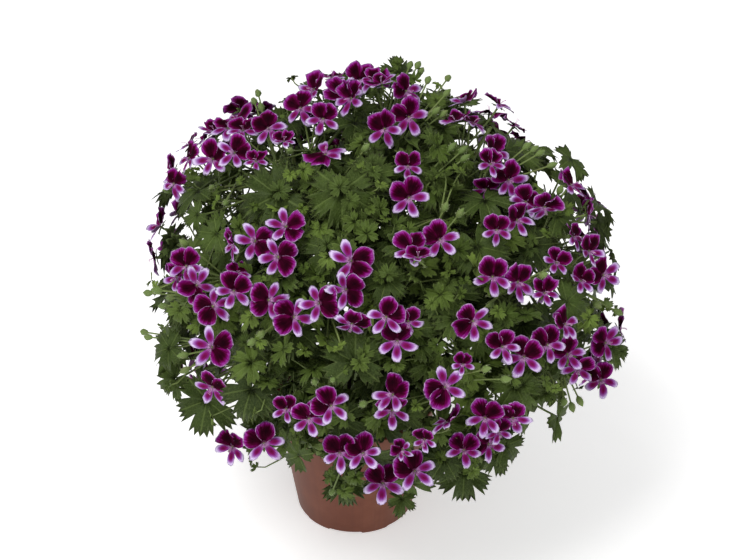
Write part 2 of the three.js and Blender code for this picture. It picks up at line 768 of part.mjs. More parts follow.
for (let index = 0; index < hiddenHeads; index += 1) {
  const height = 1 - 2 * (index + 0.5) / hiddenHeads;
  const turn = goldenTurn * index + 0.6;
  const outward = vec(Math.sqrt(1 - height * height) * Math.cos(turn), Math.sqrt(1 - height * height) * Math.sin(turn), height);
  const centre = canopyPoint(outward, 0.97);
  const normal = canopyNormal(centre);
  if (normal.dot(lookAlong) < 0.06 || height < Math.cos(THREE.MathUtils.degToRad(canopyHem))) continue;
  const east = across(vec(-outward.y, outward.x, 0), normal);
  const north = normal.clone().cross(east);
  const flowers = [];
  for (let petal = 0; petal < hiddenFlowersEach; petal += 1) {
    const around = 2 * Math.PI * petal / hiddenFlowersEach + draw(-0.3, 0.3);
    const lean = east.clone().multiplyScalar(Math.cos(around)).addScaledVector(north, Math.sin(around));
    const place = centre.clone().addScaledVector(lean, hiddenHeadRadius * draw(0.85, 1.2)).addScaledVector(normal, draw(-6, 4));
    const face = normal.clone().addScaledVector(lean, 0.55).add(vec(0, 0, draw(0, 0.4))).normalize();
    const top = across(vec(0, 0, 1).addScaledVector(east, draw(-0.9, 0.9)), face);
    flowers.push({ place, sight: normal.clone().negate(), frame: { normal: face, top }, width: draw(0.9, 1.1) });
  }
  const buds = [0, 1].map((bud) => ({
    place: centre.clone().addScaledVector(east, bud * 12 - 6).addScaledVector(normal, 2),
    sight: normal.clone().negate(),
  }));
  growHead(`bloom_back_${String(index).padStart(2, '0')}`, flowers, buds);
}

// Leaves: a blade whose stalk comes from behind it, bends towards its stem, and grows out of one
// of the stem's faces

const leafMiddles = [];

function leafSprig(place, frame, size, site) {
  const crown = bladeCrown(leafOutline, frame, place, size, leafThroat);
  const under = place.clone().addScaledVector(frame.normal, -leafUnder);
  const bend = place.clone().addScaledVector(frame.normal, -leafBend).lerp(site.centre, 0.15);
  const rings = stalkRings([under, bend], [leafStalkRadius, leafStalkRadius], crown.sideways, site.centre);
  return { site, ...sprigOf(crown.points, crown.faces, rings, site.ends) };
}

function growLeaf(middle, frame, width, shifts, tries) {
  const size = leafReach * width;
  for (const shift of shifts) {
    const place = middle.clone().add(shift).addScaledVector(frame.top, -0.35 * size);
    for (const { stem, site } of growthSites(place, tries)) {
      const sprig = leafSprig(place, frame, size, site);
      const solid = closedSprig(sprig);
      const fits = solid.status() === 'NoError' && isClear(solid, stem.name)
        && stem.solids.every((other) => solid.intersect(other).volume() < 1e-4);
      if (fits) {
        site.used = true;
        stem.sprigs.push(sprig);
        stem.solids.push(solid);
        keep(solid, stem.name);
        leafMiddles.push({ middle: middle.clone().add(shift), size });
        return true;
      }
    }
  }
  return false;
}

// A stem's skin: its own faces, opened where leaf stalks grow out, and its leaves

function stemSolid(stem) {
  const points = [...stem.points];
  const faces = stem.sites.filter((site) => !site.used).map((site) => site.face);
  faces.push(...stem.otherFaces);
  stem.sprigs.forEach((sprig) => {
    const first = points.length;
    points.push(...sprig.points, ...sprig.site.ends);
    const ends = first + sprig.points.length;
    const index = (corner) => (corner < sprig.points.length
      ? first + corner
      : ends + sprig.order[corner - sprig.points.length]);
    sprig.faces.forEach((face) => faces.push(face.map(index)));
    [0, 1, 2].forEach((corner) => {
      const next = (corner + 1) % 3;
      faces.push([sprig.site.face[corner], sprig.site.face[next], ends + corner]);
      faces.push([sprig.site.face[next], ends + next, ends + corner]);
    });
  });
  return solidOf(points, faces);
}

seenLeaves.forEach(([column, row, turn, right, upward, width]) => {
  const sight = sightLine(column, row);
  const shifts = [0, 6, -6, 12, -12, 18, 26, 34].map((far) => sight.clone().multiplyScalar(far));
  growLeaf(seenPoint(column, row, 0.98), seenFrame(turn, right, upward), width, shifts, 12);
});

for (let index = 0; index < leafPlaces; index += 1) {
  const height = 1 - (1 - Math.cos(THREE.MathUtils.degToRad(canopyHem))) * (index + 0.5) / leafPlaces;
  const turn = goldenTurn * index;
  const round = Math.sqrt(1 - height * height);
  const middle = canopyPoint(vec(round * Math.cos(turn), round * Math.sin(turn), height), draw(0.84, 0.98));
  const normal = canopyNormal(middle);
  const face = normal.clone().multiplyScalar(0.8)
    .add(vec(draw(-0.45, 0.45), draw(-0.45, 0.45), draw(-0.05, 0.75))).normalize();
  const tip = across(vec(normal.x + draw(-0.7, 0.7), normal.y + draw(-0.7, 0.7), draw(-0.9, 0.2)), face);
  const width = draw(0.8, 1.15);
  const crowded = leafMiddles.some((leaf) => (
    leaf.middle.distanceTo(middle) < leafSpacing * (leaf.size + leafReach * width)));
  if (crowded) continue;
  const shifts = [0, 8, 16, 24].map((far) => normal.clone().multiplyScalar(-far));
  growLeaf(middle, { normal: face, top: tip }, width, shifts, 10);
}

// Pot: a tapered wall, a rim band, a floor with a raised ring over the drain holes, notched feet

function potRadiusAt(z) {
  return potBaseRadius + (potRimRadius - rimBandDepth - potBaseRadius) * z / potHeight;
}

const bandStart = potHeight - rimBandHeight;
const potProfile = [
  [0, 0], [14, 0], [16, floorRaise], [36, floorRaise], [38, 0], [potBaseRadius - 0.8, 0], [potRadiusAt(1.2), 1.2],
  [potRadiusAt(bandStart - 1), bandStart - 1], [potRadiusAt(bandStart) + rimBandDepth, bandStart + 1],
  [potRimRadius, potHeight - 1], [potRimRadius - 0.9, potHeight],
  [potRimRadius - rimBandDepth - potWall, potHeight],
  [potRadiusAt(floorRaise + potFloor) - potWall, floorRaise + potFloor], [0, floorRaise + potFloor],
].map(([x, z]) => new THREE.Vector2(x, z));

function turned(profile, sides) {
  return solidOfGeometry(new THREE.LatheGeometry(profile, sides).rotateX(Math.PI / 2));
}

let potSolid = turned(potProfile, potSides);
for (let index = 0; index < drainHoles; index += 1) {
  const turn = 2 * Math.PI * (index + 0.5) / drainHoles;
  const drill = new THREE.CylinderGeometry(drainRadius, drainRadius, 12, 8).rotateX(Math.PI / 2)
    .translate(drainCircle * Math.cos(turn), drainCircle * Math.sin(turn), 3);
  potSolid = potSolid.subtract(solidOfGeometry(drill));
  const notchTurn = THREE.MathUtils.degToRad(footNotchTurn) + 2 * Math.PI * index / drainHoles;
  const notch = new THREE.BoxGeometry(20, footNotchWidth, 2 * footNotchHeight)
    .translate(46.5, 0, 0).rotateZ(notchTurn);
  potSolid = potSolid.subtract(solidOfGeometry(notch));
}

// Soil: fills the pot to below its rim, with a plain blind hole for each stem

const soilFloor = floorRaise + potFloor + clearance;
const soilProfile = [
  [0, soilFloor], [potRadiusAt(soilFloor) - potWall - soilGap, soilFloor],
  [potRadiusAt(soilTop) - potWall - soilGap, soilTop], [44, soilTop + 0.7 * soilDome], [0, soilTop + soilDome],
].map(([x, z]) => new THREE.Vector2(x, z));
let soilSolid = turned(soilProfile, potSides);
stems.forEach(({ foot }) => {
  const depth = soilTop + 10 - stemHoleFloor;
  const drill = new THREE.CylinderGeometry(stemHoleRadius, stemHoleRadius, depth, 6).rotateX(Math.PI / 2)
    .translate(foot.x, foot.y, stemHoleFloor + depth / 2);
  soilSolid = soilSolid.subtract(solidOfGeometry(drill));
});

// The plant and its pot

const plastic = new THREE.MeshStandardMaterial({ color: 0x7d4a3a, roughness: 0.5, metalness: 0 });
const peat = new THREE.MeshStandardMaterial({ color: 0x2b1d14, roughness: 0.95, metalness: 0 });
const leafGreen = new THREE.MeshStandardMaterial({ color: 0x47702c, roughness: 0.6, metalness: 0 });
const petalPurple = new THREE.MeshStandardMaterial({ color: 0x8a1e6e, roughness: 0.55, metalness: 0 });

const plant = new THREE.Group();
plant.add(meshOf(potSolid, 'pot', plastic));
plant.add(meshOf(soilSolid, 'soil', peat));
stems.forEach((stem) => plant.add(meshOf(stemSolid(stem), stem.name, leafGreen)));
heads.forEach((head) => plant.add(meshOf(headSolid(head), head.name, petalPurple)));

export default plant;
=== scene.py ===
"""Potted angel pelargonium: finished petals, leaves, stalks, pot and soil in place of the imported
solids, and the side shoots, small leaves, down and crumbs that the solids leave out.

Shapes are worked out in millimetres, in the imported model's frame, and written in metres.
"""

import math

import bmesh
import bpy
import numpy as np
from mathutils import Matrix, Vector


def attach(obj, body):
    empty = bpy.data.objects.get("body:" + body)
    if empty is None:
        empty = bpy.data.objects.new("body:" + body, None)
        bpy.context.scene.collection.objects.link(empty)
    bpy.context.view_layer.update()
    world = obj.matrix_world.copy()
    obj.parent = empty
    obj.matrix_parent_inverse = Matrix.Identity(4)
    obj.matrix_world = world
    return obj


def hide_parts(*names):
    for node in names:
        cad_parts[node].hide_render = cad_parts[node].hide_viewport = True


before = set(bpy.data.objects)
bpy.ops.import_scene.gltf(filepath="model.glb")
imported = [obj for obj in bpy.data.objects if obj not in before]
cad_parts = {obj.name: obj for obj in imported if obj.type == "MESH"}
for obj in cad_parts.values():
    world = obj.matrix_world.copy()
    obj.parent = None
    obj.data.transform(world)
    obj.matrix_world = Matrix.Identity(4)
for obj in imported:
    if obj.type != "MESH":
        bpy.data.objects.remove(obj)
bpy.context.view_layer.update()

MM = 0.001

# The plant's sizes, in millimetres and degrees

CANOPY_CENTRE = np.array([21.5, 0.0, 213.0])
CANOPY_HALF = np.array([183.0, 176.0, 149.0])
SOIL_TOP, SOIL_DOME, HOLE_FLOOR = 97.0, 3.0, 72.32
STEM_STEPS = 9
STEM_RINGS = [
    dict(count=5, from_top=36, reach=0.62, first=20, circle=15, arch=-40),
    dict(count=7, from_top=88, reach=0.6, first=12, circle=36, arch=14),
]
FIRST_MARK, LAST_MARK, STEM_MARKS = 0.42, 0.99, 10
FLOWER_STALK_RADIUS, SHORT_STALK_RADIUS, LEAF_STALK_RADIUS = 1.3, 0.65, 0.85
STALK_ARCH = 0.12
KNOB_RADIUS, KNOB_UNDER, KNOB_BEHIND = 2.5, 22.0, 12.0
FLOWER_WIDTH, FLOWER_THROAT, FLOWER_TUBE, FLOWER_BEND = 29.0, 1.2, 3.0, 4.5
LEAF_REACH, LEAF_THROAT, LEAF_BEND = 31.0 / 1.45, 0.6, 5.0
BUD_LENGTH = 9.5
GOLDEN_TURN = 2.399963
HIDDEN_HEADS, HIDDEN_EACH, HIDDEN_RADIUS = 28, 5, 21.0
LEAF_PLACES, CANOPY_HEM = 150, 128.0
SIGHT_SHIFTS = [0, -5, 5, -10, 10, -15, 15, -20, 20, -26, 26, 32, 38]
JOINT_SHIFTS = [0, 5, -5, 10, -10, 16]
KNEE_SHIFTS = np.array([
    [0, 0, 0], [5, 0, 0], [-5, 0, 0], [0, 5, 0], [0, -5, 0], [0, 0, -5], [0, 0, 5],
    [9, 0, -4], [-9, 0, -4], [0, 9, -4], [0, -9, -4]], float)

# The view of the photograph: millimetres, degrees below level, and pixels of its 750 by 560 frame

VIEW_TILT = math.radians(35)
VIEW_DISTANCE = 1700.0
VIEW_POINT = np.array([15.7, 0.0, 212.8])
FOCAL_PIXELS = 2257.0
FRAME_WIDTH, FRAME_CENTRE = 750, (375, 280)
SENSOR = 36.0
ALONG = np.array([0.0, math.cos(VIEW_TILT), -math.sin(VIEW_TILT)])
RIGHT = np.array([1.0, 0.0, 0.0])
UPWARD = np.array([0.0, math.sin(VIEW_TILT), math.cos(VIEW_TILT)])
EYE = VIEW_POINT - VIEW_DISTANCE * ALONG

# Heads of bloom that the photograph shows: each flower is the pixel column and row of its
# throat, the turn of its dark petals, how far it faces right and up, and its width beside an
# ordinary one's; each bud is the pixel column and row of its middle

SEEN_HEADS = {
    "crown_left": {
        "flowers": [[268, 128, 120, -0.1, 0.3, 1], [243, 129, 90, -0.1, 0.8, 1], [284, 140, 90, 0.1, 0.8, 0.7]],
        "buds": [[258, 93], [254, 101], [261, 107]],
    },
    "crown_far_left": {
        "flowers": [[228, 127, 90, 0, 0.8, 1], [214, 130, 90, -0.2, 0.9, 0.9], [234, 152, 35, -0.2, 0.3, 1],
                    [202, 140, 90, -0.7, 0.7, 0.9]],
        "buds": [[212, 188], [226, 203]],
    },
    "shoulder_left": {
        "flowers": [[212, 159, 65, -0.4, 0.1, 1], [188, 158, 60, -0.8, 0.3, 1], [172, 171, 90, -0.95, 0.2, 1],
                    [173, 184, 80, -0.6, -0.1, 0.9], [188, 144, 90, -0.7, 0.7, 0.8]],
        "buds": [[168, 190]],
    },
    "top_left": {
        "flowers": [[300, 108, 110, -0.2, 0.2, 1], [313, 89, 60, -0.6, 0.5, 1], [323, 119, 78, 0, 0.1, 0.92],
                    [256, 160, 90, -0.1, 0.6, 0.7]],
        "buds": [[290, 151]],
    },
    "top_middle": {
        "flowers": [[333, 76, 90, 0, 0.97, 0.85], [343, 92, 170, -0.2, 0.4, 1], [350, 98, 85, -0.7, 0.2, 1],
                    [360, 80, 90, 0, 0.3, 1]],
        "buds": [[355, 125], [362, 133]],
    },
    "top_right": {
        "flowers": [[373, 79, 70, -0.3, 0.7, 0.9], [381, 82, 120, -0.3, 0.9, 0.9], [407, 91, 150, 0.5, 0.2, 1]],
        "buds": [[410, 65], [418, 65], [421, 71]],
    },
    "crown_middle": {
        "flowers": [[409, 117, 122, 0, 0.1, 1.05], [384, 129, 108, -0.4, 0, 1]],
        "buds": [[428, 80], [448, 78], [447, 93], [436, 111], [443, 114]],
    },
    "crown_flat": {
        "flowers": [[325, 153, 230, -0.2, 0.8, 1.15]],
        "buds": [[366, 148]],
    },
    "upper_middle": {
        "flowers": [[408, 166, 90, 0, 0.3, 0.8], [409, 198, 110, 0, 0, 1.08]],
        "buds": [[452, 147], [463, 150], [465, 158]],
    },
    "top_far_right": {
        "flowers": [[463, 101, 90, -0.4, 0.9, 0.9], [500, 104, 90, 0.5, 0.85, 0.9], [455, 120, 90, -0.3, 0.9, 0.9],
                    [474, 122, 90, 0.45, 0.85, 0.9]],
        "buds": [],
    },
    "shoulder_right": {
        "flowers": [[495, 152, 100, 0.7, 0.3, 1], [509, 180, 115, 0.3, 0, 1], [491, 163, 90, 0.2, 0.5, 0.8],
                    [486, 190, 90, 0, -0.6, 0.85]],
        "buds": [[527, 146], [534, 149], [540, 153], [552, 165]],
    },
    "right_upper": {
        "flowers": [[526, 202, 60, 0.2, 0.1, 0.9], [545, 208, 90, 0.3, -0.7, 1], [518, 220, 120, 0.5, 0, 0.9],
                    [497, 230, 93, 0, 0, 0.82]],
        "buds": [[540, 200]],
    },
    "right_edge": {
        "flowers": [[572, 184, 120, 0.6, 0.6, 0.95], [589, 215, 60, 1, 0.05, 1], [575, 236, 90, 0.8, 0.3, 0.8]],
        "buds": [[560, 190]],
    },
    "right_side": {
        "flowers": [[590, 251, 90, 0.6, 0.2, 0.9], [604, 275, 155, 0.4, 0, 1], [582, 280, 60, 0.5, 0.3, 0.8]],
        "buds": [[597, 305], [608, 304], [618, 312], [609, 327]],
    },
    "right_middle": {
        "flowers": [[493, 277, 88, 0, 0, 1], [519, 282, 90, 0.6, 0, 1], [545, 292, 90, 0.3, 0.5, 0.8],
                    [557, 262, 60, 0.3, 0.4, 0.8]],
        "buds": [[543, 275], [478, 314], [490, 305]],
    },
    "middle_right": {
        "flowers": [[440, 240, 130, 0, 0, 1], [411, 248, 97, 0, 0.4, 1], [418, 256, 90, 0, 0.9, 0.8]],
        "buds": [[445, 207], [460, 213]],
    },
    "middle_left": {
        "flowers": [[286, 226, 345, 0, 0.4, 1], [255, 241, 355, 0, 0.1, 1], [278, 257, 0, 0, 0, 1]],
        "buds": [],
    },
    "centre": {
        "flowers": [[351, 261, 345, 0, 0.1, 1.12], [346, 290, 0, 0, -0.2, 1], [319, 303, 10, 0, 0.1, 1]],
        "buds": [],
    },
    "left_edge": {
        "flowers": [[232, 245, 80, -0.95, 0, 0.9], [186, 266, 92, -0.3, 0.1, 1], [197, 285, 235, 0, 0.1, 1],
                    [176, 277, 90, -0.7, 0, 0.8]],
        "buds": [[184, 243]],
    },
    "left_middle": {
        "flowers": [[213, 306, 205, 0, 0.1, 1], [234, 291, 70, 0, 0.1, 1], [238, 272, 90, 0.1, 0.6, 0.7]],
        "buds": [[148, 293], [157, 290], [163, 306], [170, 298]],
    },
    "left_inner": {
        "flowers": [[269, 300, 180, 0, 0.1, 1], [294, 317, 172, 0, 0, 1.05]],
        "buds": [[252, 342], [261, 334]],
    },
    "left_lower": {
        "flowers": [[212, 347, 345, 0, 0, 1.14]],
        "buds": [[144, 332], [148, 337], [183, 355], [185, 370]],
    },
    "left_skirt": {
        "flowers": [[212, 388, 60, -0.3, -0.5, 1]],
        "buds": [],
    },
    "centre_low": {
        "flowers": [[352, 325, 60, 0, -0.8, 1], [386, 317, 50, 0, 0.1, 1], [408, 322, 95, 0, -0.4, 0.8],
                    [397, 341, 90, 0, 0, 1.03]],
        "buds": [],
    },
    "front_middle": {
        "flowers": [[392, 394, 55, -0.4, 0.3, 1], [392, 411, 90, 0, -0.4, 1]],
        "buds": [[363, 404]],
    },
    "front_left": {
        "flowers": [[331, 406, 145, 0, 0, 1], [309, 419, 100, 0, -0.2, 1], [286, 409, 95, -0.3, 0, 0.75]],
        "buds": [[315, 382], [322, 390], [333, 380]],
    },
    "front_skirt": {
        "flowers": [[340, 453, 100, 0, 0, 1], [363, 453, 115, 0, 0.1, 1]],
        "buds": [[332, 492]],
    },
    "front_low": {
        "flowers": [[383, 483, 92, 0, 0, 1.12], [415, 471, 135, 0, 0, 1.12], [402, 450, 150, -0.3, -0.2, 0.6],
                    [424, 440, 90, -0.3, -0.4, 0.7], [446, 421, 60, -0.5, 0.8, 0.95]],
        "buds": [],
    },
    "front_right": {
        "flowers": [[445, 387, 220, 0, 0, 1.1]],
        "buds": [[486, 369], [506, 379]],
    },
    "middle_low_right": {
        "flowers": [[473, 322, 165, 0, -0.3, 1], [463, 364, 90, 0, 0.2, 0.6]],
        "buds": [],
    },
    "right_low": {
        "flowers": [[503, 346, 110, 0.1, 0.3, 0.9], [524, 357, 70, 0, 0, 1.1], [548, 345, 110, 0.3, 0, 1],
                    [566, 324, 145, 0.6, 0.3, 0.9]],
        "buds": [],
    },
    "right_skirt": {
        "flowers": [[568, 354, 125, 0.1, 0.1, 0.95], [578, 369, 75, 0.1, -0.3, 0.95], [606, 343, 170, 0.4, 0, 1],
                    [601, 380, 105, 0, 0, 1]],
        "buds": [[564, 402], [572, 407], [580, 401]],
    },
    "low_right": {
        "flowers": [[485, 418, 80, 0, 0, 1], [513, 419, 100, 0, -0.5, 1], [499, 432, 90, 0.3, -0.4, 0.8]],
        "buds": [],
    },
    "low_right_skirt": {
        "flowers": [[464, 450, 90, 0, 0, 0.95], [489, 444, 160, 0.3, 0, 0.95]],
        "buds": [],
    },
    "low_left": {
        "flowers": [[232, 447, 80, -0.4, -0.2, 1], [264, 443, 120, 0, 0, 1.08]],
        "buds": [],
    },
}

# Leaves that the photograph shows plainly, in the same way, with the turn of the tip

SEEN_LEAVES = [
    [397, 68, 100, 0.2, 0.3, 0.75], [193, 218, 200, -0.5, 0.2, 0.6], [212, 240, 230, -0.3, 0.2, 0.75],
    [163, 350, 190, -0.4, 0.1, 0.8], [170, 383, 210, -0.4, 0.1, 0.8], [205, 412, 260, -0.1, 0.1, 1.15],
    [464, 481, 270, 0.1, -0.1, 1.05], [440, 466, 240, 0, 0, 0.8], [498, 460, 300, 0.2, 0, 0.7],
    [510, 450, 320, 0.3, 0.1, 0.7], [355, 350, 90, 0, 0.2, 1.2], [390, 437, 270, 0, 0.1, 1.2],
    [342, 205, 270, 0, 0.1, 1.3], [520, 395, 300, 0.2, 0, 1.1], [577, 265, 330, 0.5, 0.2, 0.95],
    [574, 306, 340, 0.5, 0.1, 0.95], [617, 350, 350, 0.6, 0.2, 0.8], [345, 490, 280, 0, -0.1, 0.9],
    [401, 504, 260, 0, 0, 0.6], [248, 400, 250, -0.2, 0.1, 1.1], [265, 200, 200, -0.1, 0.4, 1.3],
    [375, 167, 80, 0, 0.4, 0.9], [507, 145, 60, 0.4, 0.4, 0.8], [563, 215, 20, 0.5, 0.3, 0.9],
]

# Directions, curves and seeded draws


def unit(v):
    return v / np.linalg.norm(v, axis=-1, keepdims=True)


def turns(count):
    """Even turns round a circle."""
    return 2 * np.pi * np.arange(count) / count


def ring_round(side, third, count):
    """Points one unit off a line, or off each of its points, in the plane of two directions."""
    turn = turns(count)
    return np.cos(turn)[:, None] * side[..., None, :] + np.sin(turn)[:, None] * third[..., None, :]


def outward_at(height, turn):
    """The direction that rises by a height, one unit long, at a turn round the upright axis."""
    wide = math.sqrt(1 - height * height)
    return np.array([wide * math.cos(turn), wide * math.sin(turn), height])


def across(v, normal):
    """The part of a direction that lies across a normal, one unit long."""
    return unit(v - np.sum(v * normal, axis=-1, keepdims=True) * normal)


def sides_of(along, lean):
    """Two directions across a line and each other, the first near a lean where the line isn't upright."""
    side = across(np.array(lean) if abs(along[2]) < 0.9 else np.array([1.0, 0, 0]), along)
    return side, np.cross(along, side)


def ease(low, high, x):
    """0 below low, 1 above high, and 3t^2 - 2t^3 between them."""
    t = np.clip((x - low) / (high - low), 0, 1)
    return t * t * (3 - 2 * t)


def bezier(corners, t):
    """The Bernstein sum of the corners at each t."""
    order = len(corners) - 1
    t = np.asarray(t, float)[..., None]
    return sum(math.comb(order, k) * t**k * (1 - t) ** (order - k) * corners[k] for k in range(order + 1))


def rounded(corners, steps):
    """A smooth curve through the corners: on each span the Catmull-Rom cubic of its four nearest corners."""
    corners = np.asarray(corners, float)
    padded = np.vstack([2 * corners[0] - corners[1], corners, 2 * corners[-1] - corners[-2]])
    t = np.linspace(0, len(corners) - 1, steps + 1)
    span = np.minimum(t.astype(int), len(corners) - 2)
    t = (t - span)[:, None]
    a, b, c, d = (padded[span + k] for k in range(4))
    return b + 0.5 * t * (c - a + t * (2 * a - 5 * b + 4 * c - d + t * (3 * (b - c) + d - a)))


class Track:
    """A fine line of points, read at shares of its length."""

    def __init__(self, points):
        self.points = points
        far = np.concatenate([[0], np.cumsum(np.linalg.norm(np.diff(points, axis=0), axis=1))])
        self.length = far[-1]
        self.share = far / far[-1]

    def at(self, share):
        return np.stack([np.interp(share, self.share, self.points[:, k]) for k in range(3)], axis=-1)


class Draws:
    """The plant's even, seeded draws, in the order that its solids were placed in."""

    def __init__(self, state):
        self.state = state

    def __call__(self, low, high):
        self.state = (self.state * 1664525 + 1013904223) % 4294967296
        return low + (high - low) * self.state / 4294967296


draw = Draws(20613)
chance = np.random.default_rng(413)

# The canopy, an ellipsoid, and what a pixel of the photograph sees of it


def canopy_point(direction, share):
    return direction * CANOPY_HALF * share + CANOPY_CENTRE


def canopy_normal(point):
    return unit((point - CANOPY_CENTRE) / CANOPY_HALF**2)


def sight_line(column, row):
    return unit(ALONG + (column - FRAME_CENTRE[0]) / FOCAL_PIXELS * RIGHT
                + (FRAME_CENTRE[1] - row) / FOCAL_PIXELS * UPWARD)


def seen_point(column, row, share):
    """Where a pixel's line of sight first meets the canopy, or passes it closest."""
    sight = sight_line(column, row)
    start = (EYE - CANOPY_CENTRE) / CANOPY_HALF
    along = sight / CANOPY_HALF
    a, b, c = along @ along, start @ along, start @ start - share * share
    return EYE + sight * (-b - math.sqrt(max(b * b - a * c, 0))) / a


def seen_frame(turn, right, upward):
    """The normal and the up or tip direction of a blade as the photograph shows it."""
    angle = math.radians(turn)
    to_eye = math.sqrt(max(1 - right * right - upward * upward, 0))
    normal = unit(right * RIGHT + upward * UPWARD - to_eye * ALONG)
    return normal, across(math.cos(angle) * RIGHT + math.sin(angle) * UPWARD, normal)


def pixels(points):
    """Column and row in the photograph, and how far from the eye along its axis, of points."""
    away = points - EYE
    depth = away @ ALONG
    return (FRAME_CENTRE[0] + FOCAL_PIXELS * (away @ RIGHT) / depth,
            FRAME_CENTRE[1] - FOCAL_PIXELS * (away @ UPWARD) / depth, depth)


# Stems


def stem_track(ring, index):
    """A straight foot in the soil, then one cubic Bezier that rises and arches to its end."""
    turn = math.radians(ring["first"] + 360 * index / ring["count"])
    polar = math.radians(ring["from_top"])
    heading = np.array([math.cos(turn), math.sin(turn), 0])
    end = canopy_point(math.sin(polar) * heading + [0, 0, math.cos(polar)], ring["reach"])
    foot = ring["circle"] * heading + [0, 0, HOLE_FLOOR]
    collar = np.array([foot[0], foot[1], SOIL_TOP + SOIL_DOME + 2])
    rise = np.array([foot[0], foot[1], (collar[2] + end[2]) / 2])
    arch = np.array([0.4 * foot[0] + 0.6 * end[0], 0.4 * foot[1] + 0.6 * end[1], end[2] + ring["arch"]])
    return Track(np.vstack([foot, bezier([collar, rise, arch, end], np.linspace(0, 1, 201))]))


stems = [stem_track(ring, index) for ring in STEM_RINGS for index in range(ring["count"])]
stem_names = [f"leafy_stem_{number + 1:02d}" for number in range(len(stems))]
marks = np.vstack([stem.at(np.linspace(FIRST_MARK, LAST_MARK, STEM_MARKS + 1)) for stem in stems])

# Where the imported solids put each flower, bud and leaf: of the places that the rule tries in
# turn, the one that has the solid's own corners


def corners_of(node):
    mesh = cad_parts[node].data
    corners = np.empty(3 * len(mesh.vertices), np.float32)
    mesh.vertices.foreach_get("co", corners)
    return np.unique(np.round(corners.reshape(-1, 3) / MM, 3), axis=0)


def offsets(corners, point, radius, most=3):
    """How far the corners nearest to a sphere round a point are from it, the worst of the best few."""
    return np.sort(np.abs(np.linalg.norm(corners - point, axis=1) - radius))[most - 1]


def found(corners, places, radius=0.0, most=1, within=0.05):
    """The first place whose sphere passes through enough corners, or None."""
    for number, place in enumerate(places):
        if offsets(corners, place, radius, most) < within:
            return number
    return None


def stalk_bend(place, normal, joint, knee):
    bend = place - FLOWER_TUBE * normal - FLOWER_BEND * normal
    return bend + 0.12 * (joint - bend) + knee


def read_head(name, flowers, buds):
    """Joint, stalk, flowers and buds of one head, as its solid has them."""
    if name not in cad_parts:
        return None
    corners = corners_of(name)
    middle = np.mean([flower["place"] for flower in flowers], axis=0)
    facing = unit(np.sum([flower["normal"] for flower in flowers], axis=0))
    inward = unit(np.array([CANOPY_CENTRE[0] / 2, 0, 150]) - middle)
    joints = [middle + (KNOB_UNDER + shift) * inward - KNOB_BEHIND * facing for shift in JOINT_SHIFTS]
    joint = joints[min(range(len(joints)), key=lambda k: offsets(corners, joints[k], KNOB_RADIUS, 6))]
    lift = np.array([0, 0, STALK_ARCH])
    arches = [[mark, (mark + joint) / 2 + lift * np.linalg.norm(mark - joint), joint] for mark in marks]
    stalk = min(arches, key=lambda arch: offsets(corners, bezier(arch, 0.62), FLOWER_STALK_RADIUS))
    head = dict(name=name, joint=joint, stalk=stalk, flowers=[], buds=[])
    for flower in flowers:
        places = [flower["place"] + shift * flower["sight"] for shift in SIGHT_SHIFTS]
        number = found(corners, [place - FLOWER_THROAT * flower["normal"] for place in places])
        if number is None:
            continue
        bends = [stalk_bend(places[number], flower["normal"], joint, knee) for knee in KNEE_SHIFTS]
        knee = found(corners, bends, SHORT_STALK_RADIUS, 3)
        bend = None if knee is None else bends[knee]
        head["flowers"].append(dict(flower, place=places[number], bend=bend))
    for bud in buds:
        places = [bud["place"] + shift * bud["sight"] for shift in SIGHT_SHIFTS]
        tips = [place + BUD_LENGTH / 2 * unit(place - joint) for place in places]
        number = found(corners, tips)
        if number is not None:
            head["buds"].append(places[number])
    return head


def seen_heads():
    for name, head in SEEN_HEADS.items():
        flowers = []
        for column, row, turn, right, upward, width in head["flowers"]:
            normal, top = seen_frame(turn, right, upward)
            flowers.append(dict(place=seen_point(column, row, 1), sight=sight_line(column, row),
                                normal=normal, top=top, width=width))
        buds = [dict(place=seen_point(column, row, 1), sight=sight_line(column, row))
                for column, row in head["buds"]]
        yield read_head(f"bloom_{name}", flowers, buds)


def hidden_heads():
    """Heads spread by the golden angle on the side that faces away, each a ring of flowers."""
    for index in range(HIDDEN_HEADS):
        height = 1 - 2 * (index + 0.5) / HIDDEN_HEADS
        outward = outward_at(height, GOLDEN_TURN * index + 0.6)
        centre = canopy_point(outward, 0.97)
        normal = canopy_normal(centre)
        if normal @ ALONG < 0.06 or height < math.cos(math.radians(CANOPY_HEM)):
            continue
        east = across(np.array([-outward[1], outward[0], 0]), normal)
        north = np.cross(normal, east)
        flowers = []
        for number in range(HIDDEN_EACH):
            around = 2 * math.pi * number / HIDDEN_EACH + draw(-0.3, 0.3)
            lean = math.cos(around) * east + math.sin(around) * north
            place = centre + HIDDEN_RADIUS * draw(0.85, 1.2) * lean
            place = place + draw(-6, 4) * normal
            face = unit(normal + 0.55 * lean + [0, 0, draw(0, 0.4)])
            top = across(np.array([0, 0, 1]) + draw(-0.9, 0.9) * east, face)
            flowers.append(dict(place=place, sight=-normal, normal=face, top=top, width=draw(0.9, 1.1)))
        buds = [dict(place=centre + side * east + 2 * normal, sight=-normal) for side in (-6, 6)]
        yield read_head(f"bloom_back_{index:02d}", flowers, buds)


heads = [head for head in [*seen_heads(), *hidden_heads()] if head]

stem_corners = [corners_of(name) for name in stem_names]
ring_places = [stem.at(np.linspace(0, 1, STEM_STEPS + 1)) for stem in stems]


